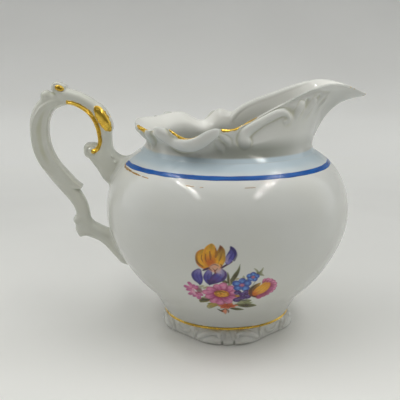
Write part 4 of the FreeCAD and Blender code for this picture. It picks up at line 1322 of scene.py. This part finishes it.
def paint_asters(p):
    petals = [(-14.6, 1.9, 0.9), (-16.1, -0.5, 1.0), (-15.2, -2.6, 0.9), (-14.2, -5.3, 1.1),
              (-12.4, -6.5, 1.0), (-10.4, -7.8, 1.1), (-9.3, -5.2, 0.9), (-12.6, 0.7, 0.8),
              (-11.2, 0.2, 0.7)]
    p.rosette((-11.4, -2.6), petals, ("crimson", "pink", "mauve"), "mauve", 0.85, veins=1)
    p.petal([(-12.6, -1.6, 0.4), (-12.5, -3.6, 0.6), (-12.0, -5.0, 0.3)], ("light_pink",), fill=0.7)
    p.disc((-10.4, -2.3), (1.1, 1.5), 20, ("grey_green", "crimson"), fill=0.85, soft=0.8)

    petals = [(-8.9, -2.7, 1.1), (-7.8, -5.8, 1.05), (-5.7, -9.1, 1.1), (-3.0, -10.3, 1.1), (0.3, -9.0, 1.15),
              (2.4, -6.6, 1.1), (3.0, -2.4, 1.1), (0.7, 0.4, 1.1), (-2.1, 1.9, 1.15), (-4.7, 1.2, 1.0),
              (-7.2, -0.5, 1.05)]
    p.rosette((-2.8, -3.9), petals, ("crimson", "mauve", "pink"), "crimson", 1.55, veins=3)
    for u, v in ((-6.9, -2.6), (-5.0, -7.4), (-2.6, -8.7), (0.8, -7.2), (1.3, -2.6), (-1.9, 0.3)):
        p.petal([(u * 0.8 - 0.6, v * 0.8 - 0.8, 0.3), (u, v, 0.55), (u * 1.1 + 0.2, v * 1.1 + 0.3, 0.2)],
                ("pink", "light_pink"), fill=0.55, soft=0.6)
    p.disc((-2.7, -3.6), (3.1, 2.5), 0, ("crimson",), fill=0.75, soft=1.0)
    p.disc((-2.7, -3.5), (2.6, 2.05), 0, ("disc", "disc_light", "disc"), speckle="disc_dark", share=0.55)
    p.petal([(-5.0, -2.6, 0.2), (-3.4, -1.9, 0.3), (-2.0, -2.4, 0.2)], ("disc_dark",), fill=0.85)
    p.petal([(-3.4, -2.4, 0.2), (-2.9, -3.6, 0.3), (-3.4, -4.8, 0.15)], ("disc_dark", "orange"), fill=0.6)
    p.petal([(-4.9, -4.6, 0.15), (-3.0, -5.5, 0.22), (-0.6, -5.0, 0.15)], ("disc_dark", "brown"), fill=0.6)
    p.petal([(-1.4, -2.2, 0.15), (-0.4, -3.2, 0.25), (-0.3, -4.3, 0.15)], ("orange", "brown"), fill=0.7)


def paint_blue_flowers(p):
    flowers = (((4.2, 1.3), 1.5, ((4.2, 3.2), (6.1, 2.1), (2.3, 2.2), (2.8, -0.2), (5.4, -0.5))),
               ((7.9, 5.0), 1.1, ((6.7, 5.6), (7.9, 6.2), (9.1, 5.3), (8.5, 4.0), (7.1, 4.2))))
    for centre, half, petals in flowers:
        for u, v in petals:
            p.disc((u, v), (half, half * 1.05), 0, ("light_blue", "blue", "deep_blue"), soft=0.35,
                   speckle="light_blue", share=0.4)
        p.disc(centre, (half * 0.75, half * 0.75), 0, ("pink", "deep_blue"), soft=0.5)
        p.disc(centre, (0.3, 0.3), 0, ("disc_light", "crimson"), soft=0.2)
    for u, v, half in ((6.1, -5.3, 1.25), (2.9, -2.6, 1.05), (5.9, -2.8, 1.15), (4.4, -5.9, 1.2),
                       (2.7, -7.3, 1.2), (4.5, -3.6, 1.0)):
        p.disc((u, v), (half * 1.3, half * 1.2), 15, ("purple", "purple", "dark_purple"), soft=0.4,
               speckle="lavender", share=0.35)
    p.disc((2.8, -4.7), (0.95, 0.6), -10, ("disc_light", "olive", "brown"), soft=0.3)
    p.petal([(3.4, -7.0, 0.2), (4.4, -7.6, 0.35), (6.2, -7.6, 0.15)], ("leaf_dark", "indigo"), fill=0.8)


def paint_side_aster(p):
    p.petal([(9.8, -5.6, 0.8), (8.3, -3.8, 1.5), (8.2, -1.7, 1.5), (9.4, 0.5, 1.0), (10.6, 1.8, 0.3)],
            ("cup", "cup", "leaf_dark", "olive"), edge="leaf_dark", rim=0.4, veins=2, vein="orange",
            light=-0.25)
    petals = [(12.2, 3.7, 0.9), (13.5, 3.9, 0.9), (14.8, 3.2, 1.0), (15.9, 2.2, 1.0), (16.8, 0.8, 1.0),
              (16.9, -0.8, 1.0), (16.4, -2.4, 1.0), (15.4, -4.0, 1.0), (13.9, -5.4, 1.0), (12.2, -6.3, 1.0),
              (10.4, -7.4, 1.0)]
    p.rosette((12.0, -1.0), petals, ("crimson", "crimson", "pink"), "crimson", 1.05, veins=1)
    p.petal([(10.4, -6.2, 0.9), (13.2, -4.4, 1.0), (15.0, -1.6, 0.7)], ("crimson", "crimson", "mauve"),
            fill=0.75, soft=0.6)
    p.petal([(9.2, -3.8, 1.3), (10.9, -2.0, 2.1), (12.6, -0.1, 1.8), (13.5, 1.0, 0.9)],
            ("orange", "disc_light", "yellow", "disc"), edge="orange", rim=0.45, veins=4, vein="orange")
    p.petal([(9.6, -0.6, 0.25), (11.2, 0.9, 0.4), (12.6, 2.0, 0.3)], ("disc_light",), fill=0.6)


def paint_iris(p):
    upper = ("lavender", "blue_violet", "blue_violet", "indigo")
    p.petal([(0.5, 12.0, 0.3), (-1.2, 10.7, 0.34), (-2.6, 9.6, 0.36), (-3.4, 8.8, 0.3)],
            ("stem", "dark_purple"))
    p.petal([(-0.9, 11.6, 0.7), (-0.3, 13.2, 1.35), (0.5, 14.9, 1.45), (0.7, 16.3, 0.95), (0.1, 17.5, 0.3)],
            upper, edge="indigo", rim=0.35, veins=2, vein="indigo", light=-0.3)
    p.petal([(1.2, 12.6, 0.5), (1.7, 14.4, 0.55), (1.3, 16.0, 0.45), (0.3, 17.2, 0.2)],
            ("indigo",), fill=0.8, soft=0.5)
    p.petal([(-1.2, 12.0, 0.3), (-1.1, 13.4, 0.5), (-0.3, 14.8, 0.3)], ("pale_violet", "lavender"), fill=0.7,
            soft=0.5)

    p.petal([(-6.4, 9.7, 1.1), (-8.4, 10.5, 1.9), (-9.6, 12.5, 2.1), (-9.6, 14.5, 1.6), (-9.1, 15.8, 0.7)],
            ("orange", "yellow", "yellow", "olive"), edge="orange", rim=0.6, veins=3, vein="orange",
            light=-0.1)
    p.petal([(-9.2, 9.7, 0.2), (-11.0, 11.2, 0.3), (-11.5, 13.2, 0.3), (-11.2, 14.9, 0.15)],
            ("brown", "leaf_dark", "olive"), fill=0.75, soft=0.5)
    p.petal([(-4.6, 9.8, 1.2), (-3.7, 12.0, 1.8), (-3.3, 14.4, 1.7), (-3.1, 16.2, 1.2), (-3.2, 17.3, 0.6)],
            ("yellow", "yellow", "olive", "brown"), edge="olive", rim=0.5, veins=2, vein="olive")
    p.petal([(-6.0, 9.6, 1.2), (-6.7, 12.0, 2.1), (-6.8, 14.6, 2.4), (-6.5, 16.6, 1.8), (-6.3, 17.9, 0.8)],
            ("orange", "orange", "yellow", "olive"), edge="yellow", rim=0.6, veins=3, vein="orange")
    for stops in ([(-6.9, 15.7, 0.2), (-6.6, 14.0, 0.35), (-6.5, 12.4, 0.15)],
                  [(-9.5, 14.2, 0.15), (-9.6, 12.8, 0.3), (-9.0, 11.4, 0.12)],
                  [(-8.2, 14.6, 0.12), (-8.3, 13.0, 0.22), (-7.9, 11.6, 0.1)],
                  [(-4.9, 16.9, 0.2), (-4.6, 15.3, 0.4), (-4.9, 13.6, 0.2)],
                  [(-3.4, 17.9, 0.25), (-3.5, 16.6, 0.25), (-3.9, 15.4, 0.12)],
                  [(-3.0, 15.2, 0.12), (-3.2, 13.6, 0.22), (-3.7, 12.2, 0.1)]):
        p.petal(stops, ("brown",), fill=0.7, soft=0.35)

    p.petal([(-9.0, 8.0, 0.3), (-8.0, 8.6, 0.4), (-6.8, 9.3, 0.3)], ("dark_purple", "stem"), soft=0.4)
    p.petal([(-10.6, 7.6, 1.0), (-11.2, 6.0, 1.85), (-10.9, 4.2, 1.8), (-10.3, 2.6, 1.1), (-10.2, 0.9, 0.15)],
            upper, edge="indigo", rim=0.6, veins=3, vein="indigo", light=0.12)
    p.petal([(-7.0, 7.4, 1.0), (-7.4, 5.6, 1.6), (-7.2, 3.6, 1.5), (-6.8, 1.1, 0.15)],
            (*upper[:3], "dark_purple"), edge="indigo", veins=2, vein="indigo")
    p.petal([(-3.5, 8.0, 1.3), (-3.1, 6.3, 2.2), (-4.4, 4.5, 2.1), (-5.8, 2.9, 1.3), (-6.9, 1.2, 0.2)],
            ("pale_violet", "blue_violet", "purple", "indigo"), edge="dark_purple", rim=0.55, veins=3,
            vein="purple")
    p.petal([(-1.5, 7.6, 0.25), (-1.5, 6.0, 0.35), (-2.6, 4.2, 0.2)], ("purple", "dark_purple"), fill=0.75,
            soft=0.5)
    p.petal([(-7.4, 3.4, 0.5), (-6.7, 2.0, 0.6), (-5.4, 3.0, 0.5)], ("dark_purple", "indigo"),
            fill=0.7, soft=0.6)

    p.disc((-5.0, 9.2), (1.9, 1.9), 0, ("peach",), fill=0.95, soft=0.9, speckle="salmon", share=0.3)
    p.petal([(-4.9, 8.8, 0.6), (-3.8, 7.6, 0.6), (-3.0, 7.0, 0.3)], ("peach", "pale_violet"),
            fill=0.8, soft=0.6)
    for stops in ([(-6.6, 10.0, 0.1), (-5.2, 10.7, 0.2), (-3.9, 10.1, 0.12)],
                  [(-5.9, 9.3, 0.1), (-5.0, 8.2, 0.25), (-4.2, 9.2, 0.12)],
                  [(-5.1, 8.4, 0.2), (-5.0, 7.4, 0.3), (-4.9, 6.6, 0.1)],
                  [(-7.0, 9.2, 0.1), (-6.6, 8.5, 0.2), (-6.0, 8.1, 0.1)],
                  [(-3.2, 10.9, 0.15), (-2.8, 10.2, 0.3), (-3.2, 9.4, 0.12)]):
        p.petal(stops, ("red_brown",), fill=0.8, soft=0.3)


def painted_bouquet():
    painting = Painting()
    for part in (paint_leaves, paint_low_blossoms, paint_asters, paint_blue_flowers, paint_side_aster,
                 paint_iris):
        part(painting)
    painting.colour *= (1 + 0.05 * painting.grain)[..., None]
    return painting


def make_transfers(material, painting):
    """The bouquet, printed on both sides of the bowl."""
    run_at_foot = np.interp(BOUQUET_FOOT, BOWL_LINE[:, 1], BOWL_RUN)
    height = np.interp(run_at_foot + painting.up, BOWL_RUN, BOWL_LINE[:, 1])
    triangles = triangles_of(grid_faces(*height.shape, closed_columns=False))
    for node, middle in BOUQUET_ANGLES.items():
        angle = math.radians(middle) + painting.across / bowl_radius(height)
        surface = np.concatenate([on_bowl(angle, height), bowl_normal(angle, height), painting.colour,
                                  painting.cover[..., None]], axis=2).reshape(-1, 10)
        _, faces, carry = clip(surface[:, :3], triangles, surface[:, 9] - PRINT_EDGE)
        kept = carry(surface)
        shape, shell_faces = film_shell(kept[:, :3], faces, unit(kept[:, 3:6]), PRINT_LIFT)
        obj = make_mesh(node + "_print", shape, shell_faces, paint=np.tile(kept[:, 6:10], (2, 1)))
        finish_piece(obj, material, node)


# --- Materials --------------------------------------------------------------------------------------
class Nodes:
    """A node tree, with short ways to add to it."""

    def __init__(self, tree):
        self.tree = tree

    def put(self, socket, value):
        if isinstance(value, bpy.types.NodeSocket):
            self.tree.links.new(value, socket)
        else:
            socket.default_value = value

    def node(self, kind, settings=(), **inputs):
        made = self.tree.nodes.new(kind)
        for key, value in settings:
            setattr(made, key, value)
        for key, value in inputs.items():
            self.put(made.inputs[key], value)
        return made

    def math(self, operation, *values, clamp=False):
        made = self.node("ShaderNodeMath", (("operation", operation), ("use_clamp", clamp)))
        for i, value in enumerate(values):
            self.put(made.inputs[i], value)
        return made.outputs[0]

    def times(self, first, *others):
        """The product of all its values."""
        for other in others:
            first = self.math("MULTIPLY", first, other)
        return first

    def ranged(self, value, low, high, to_low=0.0, to_high=1.0, smooth=True):
        """A value carried from one range to another and held at its ends."""
        kind = "SMOOTHSTEP" if smooth else "LINEAR"
        made = self.node("ShaderNodeMapRange", (("interpolation_type", kind),))
        for i, socket in enumerate((value, low, high, to_low, to_high)):
            self.put(made.inputs[i], socket)
        return made.outputs[0]


class Shading(Nodes):
    """A material's nodes.  Sizes are millimetres on the object."""

    def __init__(self, name):
        self.material = bpy.data.materials.new(name)
        self.material.use_nodes = True
        super().__init__(self.material.node_tree)
        self.shader = self.tree.nodes["Principled BSDF"]
        self.place = self.node("ShaderNodeTexCoord").outputs["Object"]
        split = self.node("ShaderNodeSeparateXYZ", Vector=self.place)
        self.x, self.y, self.z = split.outputs

    def ranged_mm(self, value, low, high, *to):
        """A length, carried from a range in millimetres."""
        return self.ranged(value, low * MM, high * MM, *to)

    def noise(self, size, detail=3.0, rough=0.5, vector=None):
        made = self.node("ShaderNodeTexNoise", Vector=vector or self.place, Scale=1 / (size * MM),
                         Detail=detail, Roughness=rough)
        return made.outputs["Fac"]

    def mottled(self, size, detail, low, high):
        """A soft random change between two values."""
        return self.ranged(self.noise(size, detail), 0.3, 0.7, low, high)

    def around(self, stretch):
        """A place round the jug's axis, stretched along the band so that noise makes brushed streaks."""
        angle = self.math("ARCTAN2", self.y, self.x)
        made = self.node("ShaderNodeCombineXYZ", X=self.math("MULTIPLY", angle, 40 * MM / stretch), Y=self.z)
        return made.outputs[0]

    def mix(self, share, first, second):
        made = self.node("ShaderNodeMix", (("data_type", "RGBA"),))
        colours = [socket for socket in made.inputs if socket.type == "RGBA"]
        self.put(made.inputs[0], share)
        for socket, colour in zip(colours, (first, second)):
            self.put(socket, colour if isinstance(colour, bpy.types.NodeSocket) else (*colour, 1))
        return next(socket for socket in made.outputs if socket.type == "RGBA")

    def attribute(self, name, output="Fac"):
        return self.node("ShaderNodeAttribute", (("attribute_name", name),)).outputs[output]

    def bump(self, layers):
        """Bump from pairs of height (0 to 1) and how many millimetres that is."""
        height = None
        for value, tall in layers:
            part = self.math("MULTIPLY", value, tall * MM)
            height = part if height is None else self.math("ADD", height, part)
        made = self.node("ShaderNodeBump", Strength=1.0, Distance=1.0, Height=height)
        self.put(self.shader.inputs["Normal"], made.outputs[0])

    def finish(self, colour, roughness, metallic=0.0):
        self.put(self.shader.inputs["Base Color"], colour)
        self.put(self.shader.inputs["Roughness"], roughness)
        self.put(self.shader.inputs["Metallic"], metallic)
        return self.material


WHITE = (0.735, 0.745, 0.715)
WARM_WHITE = (0.72, 0.725, 0.67)
# the green-cream of pooled glaze; where Pool lays it on, it also stands for painted shade in hollows
POOLED_GLAZE = (0.56, 0.565, 0.415)
CLEAN_GLAZE_AND_LIGHT = (0.90, 0.90, 0.85)    # thin clean glaze, inside the neck and on the foot, also painted lighter there as painted light
CREASE_SHADE_COLOUR = (0.33, 0.345, 0.305)    # painted shade in the crease under the neck
SPRAYED_BLUE, SPRAYED_WHITE = (0.50, 0.60, 0.66), (0.70, 0.735, 0.725)
SPECK = (0.26, 0.19, 0.12)
SPECK_CELL, SPECK_SIZE, SPECK_RARE = 11, (0.03, 0.012), (0.74, 0.8)    # one cell in five or so has a speck
BARE_BISCUIT = (0.52, 0.47, 0.38)


def glaze_colour(s):
    """White glaze: a slow drift of tone, a green-cream tint where it pools that also paints shade into
    hollows, a lighter clean glaze that is partly painted light, and a few firing specks.
    """
    colour = s.mix(s.ranged(s.noise(26, 2), 0.35, 0.68, 0.0, 0.55), WHITE, WARM_WHITE)
    # Pool's green-cream tint: pooled glaze, and painted shade in hollows and over the handle
    pool = s.math("MULTIPLY", s.attribute("Pool"), s.mottled(5, 3, 0.75, 1.0), clamp=True)
    colour = s.mix(pool, colour, POOLED_GLAZE)
    # negative Pool: thin clean glaze, painted lighter as painted light
    colour = s.mix(s.ranged(s.attribute("Pool"), 0.0, -1.0), colour, CLEAN_GLAZE_AND_LIGHT)
    cells = s.node("ShaderNodeTexVoronoi", Vector=s.place, Scale=1 / (SPECK_CELL * MM))
    spot = s.ranged(cells.outputs["Distance"], *SPECK_SIZE)
    rare = s.node("ShaderNodeSeparateColor", Color=cells.outputs["Color"])
    spot = s.times(spot, s.ranged(rare.outputs[0], *SPECK_RARE))
    return s.mix(s.times(spot, 0.55), colour, SPECK)


def glaze_relief(s):
    s.bump([(s.noise(9, 2), 0.035), (s.noise(2.2, 3), 0.004), (s.noise(0.5, 2), 0.0006)])


BARE_EDGE = (0.32, 0.12)    # the foot's lowest edge has no glaze
# Outside, low on the neck, lie the band's sprayed blue and painted shade in the crease under the neck.
# Each pair is where one comes in: by height, from the inside out, off the handle and the spout, by Pool
# (the clean glaze is inside), and along the jug, where the painted crease shade thins to both sides.
SPRAY_RISE, CREASE_SHADE_RISE, NECK_RISE = ((NECK_BASE + top, NECK_BASE + full)
                                      for top, full in ((1.1, 0.35), (8.0, 3.0), (-1.0, -0.6)))
OUTER_RADII = (BASE_RADIUS - 2.1, BASE_RADIUS - 1.7)
SPRAY_RADII, CREASE_SHADE_RADII = (BASE_RADIUS + 3.5, BASE_RADIUS + 3.0), (BASE_RADIUS + 8, BASE_RADIUS + 3)
OUTER_POOL = (-0.6, -0.1)
CREASE_SHADE_LEFT, CREASE_SHADE_RIGHT = (-12, 2, 0.15, 1.0), (10, 28, 1.0, 0.45)


def glazed_porcelain():
    s = Shading("glazed_porcelain")
    bare = s.ranged_mm(s.z, *BARE_EDGE)
    colour = s.mix(bare, glaze_colour(s), BARE_BISCUIT)
    radius = s.math("SQRT", s.math("ADD", s.math("POWER", s.x, 2.0), s.math("POWER", s.y, 2.0)))
    outside = s.times(s.ranged_mm(radius, *OUTER_RADII), s.ranged(s.attribute("Pool"), *OUTER_POOL))
    off_handle = s.ranged_mm(radius, *SPRAY_RADII)
    sprayed = s.ranged_mm(s.z, *SPRAY_RISE)
    # painted shade: the crease under the neck is darkened towards its bottom, and it thins to both sides
    # along the jug
    painted_crease_shade = s.times(s.ranged_mm(s.z, *CREASE_SHADE_RISE), s.ranged_mm(s.x, *CREASE_SHADE_LEFT),
                     s.ranged_mm(s.x, *CREASE_SHADE_RIGHT), s.ranged_mm(radius, *CREASE_SHADE_RADII))
    outside = s.times(outside, s.ranged_mm(s.z, *NECK_RISE))
    colour = s.mix(s.times(painted_crease_shade, outside), colour, CREASE_SHADE_COLOUR)
    colour = s.mix(s.times(sprayed, off_handle, outside), colour, SPRAYED_BLUE)
    rough = s.ranged(s.noise(6, 4), 0.3, 0.75, 0.05, 0.11)
    handled = s.ranged(s.noise(1.1, 5, 0.7), 0.62, 0.8, 0.0, 0.07)
    rough = s.math("ADD", s.math("ADD", rough, handled), s.times(bare, 0.5))
    glaze_relief(s)
    return s.finish(colour, rough)


def joint_slip():
    s = Shading("porcelain_slip")
    colour = s.mix(s.ranged(s.noise(3.5, 4), 0.35, 0.7, 0.0, 0.35), glaze_colour(s), POOLED_GLAZE)
    s.bump([(s.noise(4, 3), 0.05), (s.noise(1.2, 3), 0.008)])
    return s.finish(colour, s.mottled(2.5, 4, 0.07, 0.16))


ENAMEL_IOR = 1.36     # low, so that the blue isn't washed out by reflections
COBALT, THIN_COBALT, COBALT_PATCH = (0.001, 0.062, 0.31), (0.005, 0.125, 0.46), (0.06, 0.24, 0.64)
BURNISHED_GOLD, WORN_GOLD = ((0.93, 0.62, 0.09), (0.74, 0.45, 0.05)), ((0.66, 0.40, 0.12), (0.42, 0.21, 0.05))
RUBBED_GOLD = (0.30, 0.14, 0.045)


def cobalt_enamel():
    s = Shading("cobalt_blue_enamel")
    streak = s.noise(0.5, 4, 0.6, s.around(14))
    patch = s.noise(9, 2)
    colour = s.mix(s.ranged(streak, 0.3, 0.72), COBALT, THIN_COBALT)
    colour = s.mix(s.ranged(patch, 0.55, 0.8, 0.0, 0.35), colour, COBALT_PATCH)
    s.shader.inputs["IOR"].default_value = ENAMEL_IOR
    s.bump([(streak, 0.012), (s.noise(0.6, 3), 0.004)])
    return s.finish(colour, s.mottled(1.5, 4, 0.1, 0.22))


def pale_enamel():
    s = Shading("pale_blue_enamel")
    cloud = s.noise(3.0, 4, 0.6, s.around(5))
    share = s.math("ADD", s.attribute("Pool"), s.ranged(cloud, 0.2, 0.8, -0.14, 0.14, smooth=False))
    colour = s.mix(s.ranged(share, 0.02, 0.62, 0.45, 1.0), SPRAYED_WHITE, SPRAYED_BLUE)
    s.bump([(s.noise(1.0, 4), 0.004), (cloud, 0.01)])
    return s.finish(colour, s.mottled(2.5, 3, 0.08, 0.17))


def gold(name, bright, dark, worn):
    """Fired gold: brushed streaks, a few scratches, and rubbed patches that show brown and dull."""
    s = Shading(name)
    streak = s.noise(0.35, 4, 0.65, s.around(9))
    rubbed = s.ranged(s.noise(2.2, 4, 0.6), 0.66 - worn, 0.82 - worn)
    colour = s.mix(s.ranged(s.noise(2.6, 3), 0.3, 0.62), dark, bright)
    colour = s.mix(s.times(rubbed, 0.65), colour, RUBBED_GOLD)
    scratch = s.ranged(s.noise(0.12, 2, 0.5, s.around(25)), 0.6, 0.75)
    rough = s.math("ADD", s.mottled(3.0, 3, 0.2, 0.3), s.times(rubbed, 0.25))
    s.bump([(streak, 0.0007), (scratch, 0.0003), (s.noise(2.0, 2), 0.002)])
    return s.finish(colour, rough, s.math("SUBTRACT", 0.7, s.times(rubbed, 0.3)))


def transfer_print():
    s = Shading("flower_transfer")
    paint = s.node("ShaderNodeAttribute", (("attribute_name", "Paint"),))
    dots = s.ranged(s.noise(0.22, 3, 0.6), 0.25, 0.75, 0.9, 1.06, smooth=False)
    ink = s.node("ShaderNodeVectorMath", (("operation", "SCALE"),), Vector=paint.outputs["Color"], Scale=dots)
    colour = s.mix(paint.outputs["Alpha"], glaze_colour(s), ink.outputs[0])
    s.bump([(s.noise(9, 2), 0.035), (paint.outputs["Alpha"], 0.012), (s.noise(0.4, 3), 0.002)])
    rough = s.math("ADD", s.mottled(1.2, 4, 0.07, 0.13), s.times(paint.outputs["Alpha"], 0.08))
    return s.finish(colour, rough)


# --- Camera, light and floor ------------------------------------------------------------------------
# the photograph's camera
CAMERA_PLACE = (-10.41, -277.0, 115.0)
CAMERA_PITCH = 13.36    # degrees down
FOCAL_PIXELS = 736.3
FRAME_PIXELS = 400
SENSOR = 36.0


def make_camera():
    data = bpy.data.cameras.new("camera")
    data.sensor_width = SENSOR
    data.lens = FOCAL_PIXELS / FRAME_PIXELS * SENSOR
    data.clip_start = 0.01
    camera = bpy.data.objects.new("camera", data)
    camera.location = [value * MM for value in CAMERA_PLACE]
    camera.rotation_euler = (math.radians(90 - CAMERA_PITCH), 0, 0)
    bpy.context.scene.collection.objects.link(camera)
    bpy.context.scene.camera = camera


STAGE_HALF = 2000.0
FLOOR_TONES = (0.76, 0.76, 0.735), (0.785, 0.785, 0.76)
# the backdrop's own light: how strong, and how it comes in behind the jug and thins upwards, in metres
BACKDROP_GLOW = 0.28
GLOW_BACK, GLOW_UP = (0.0, 0.45, 0.18, 1.0), (0.0, 0.30, 1.0, 0.67)
SWEEP_START, SWEEP_RADIUS, BACKDROP_TOP = 620.0, 520.0, 2000.0


def pale_stage():
    s = Shading("pale_floor")
    colour = s.mix(s.mottled(140, 2, 0.0, 1.0), *FLOOR_TONES)
    s.bump([(s.noise(2.0, 3), 0.01)])
    glow = s.times(s.ranged(s.y, *GLOW_BACK), s.ranged(s.z, *GLOW_UP))
    s.put(s.shader.inputs["Emission Color"], colour)
    s.put(s.shader.inputs["Emission Strength"], s.times(glow, BACKDROP_GLOW))
    return s.finish(colour, s.mottled(30, 3, 0.34, 0.42))


def make_stage():
    """A floor that sweeps up into a backdrop."""
    turn = np.linspace(0, math.pi / 2, 24)[1:]
    sweep = [(-STAGE_HALF, 0.0), (SWEEP_START, 0.0)]
    sweep += [(SWEEP_START + SWEEP_RADIUS * math.sin(a), SWEEP_RADIUS * (1 - math.cos(a))) for a in turn]
    sweep.append((SWEEP_START + SWEEP_RADIUS, BACKDROP_TOP))
    points = [(x, y, z) for x in (-STAGE_HALF, STAGE_HALF) for y, z in sweep]
    count = len(sweep)
    faces = [(i, i + count, i + count + 1, i + 1) for i in range(count - 1)]
    floor = make_mesh("floor_and_backdrop", np.array(points), faces)
    floor.data.materials.append(pale_stage())


LIGHT_HEIGHT = 300.0
LIGHT_ROWS = ((-160.0, -260.0, 30.0), (143.0, -260.0, 30.0))    # across, and from and to
ROW_GAP = 22.0
DOTS_IN_ROW = 30
DOT_HALF = 1.15
DOT_POWER = 300.0
DOT_COLOUR = (1.0, 0.985, 0.95, 1)


def make_light_strips():
    """Two double rows of small studio lights overhead, which the camera doesn't see."""
    material = bpy.data.materials.new("studio_light")
    material.use_nodes = True
    shader = material.node_tree.nodes["Principled BSDF"]
    shader.inputs["Base Color"].default_value = (0, 0, 0, 1)
    shader.inputs["Emission Color"].default_value = DOT_COLOUR
    shader.inputs["Emission Strength"].default_value = DOT_POWER
    points, faces = [], []
    for middle, start, end in LIGHT_ROWS:
        for side in (-1, 1):
            for y in np.linspace(start, end, DOTS_IN_ROW):
                first = len(points)
                points += [(middle + side * ROW_GAP / 2 + DOT_HALF * dx, y + DOT_HALF * dy, LIGHT_HEIGHT)
                           for dx, dy in ((-1, -1), (-1, 1), (1, 1), (1, -1))]
                faces.append((first, first + 1, first + 2, first + 3))
    lights = make_mesh("studio_light_dots", np.array(points), faces)
    lights.data.materials.append(material)
    lights.visible_camera = False
    lights.visible_shadow = False


# the tent's light beside and behind the jug, towards the camera, and overhead, and between which
# directions they turn into each other
AROUND, FRONT, OVERHEAD = 1.03, 0.02, 1.2
SIDE_TURN, TOP_TURN, RISE_TURN = (-0.30, 0.40), (-0.75, -0.05), (0.55, 0.95)
BEYOND = 0.55         # what the camera sees past the floor's edge from behind
TENT_COLOUR = (0.985, 1.0, 0.99, 1)


def make_world():
    """A soft white tent: bright above, at the sides and behind, dark towards the camera."""
    world = bpy.data.worlds.new("studio_tent")
    bpy.context.scene.world = world
    world.use_nodes = True
    s = Nodes(world.node_tree)
    place = s.node("ShaderNodeTexCoord").outputs["Generated"]
    _, y, z = s.node("ShaderNodeSeparateXYZ", Vector=place).outputs
    level = s.ranged(y, *SIDE_TURN, FRONT, AROUND)
    above = s.ranged(y, *TOP_TURN, FRONT, OVERHEAD)
    level = s.ranged(z, *RISE_TURN, level, above)
    seen = s.node("ShaderNodeLightPath").outputs["Is Camera Ray"]
    level = s.ranged(seen, 0.0, 1.0, level, BEYOND)
    background = s.tree.nodes["Background"]
    s.put(background.inputs[0], TENT_COLOUR)
    s.put(background.inputs[1], level)
    bpy.context.scene.view_settings.view_transform = "Standard"


def main():
    glaze = glazed_porcelain()
    gilt = gold("burnished_gold", *BURNISHED_GOLD, worn=0.0)
    worn = gold("worn_gold", *WORN_GOLD, worn=0.12)
    make_bowl(glaze)
    neck = neck_surface()
    make_neck(glaze, neck)
    make_foot(glaze)
    casting = make_handle(glaze, joint_slip(), handle_surface())
    make_handle_gilding(gilt, casting)
    make_bands(cobalt_enamel(), pale_enamel(), worn, gilt)
    make_rim_gilding(gilt, neck)
    make_transfers(transfer_print(), painted_bouquet())
    make_camera()
    make_stage()
    make_light_strips()
    make_world()


main()
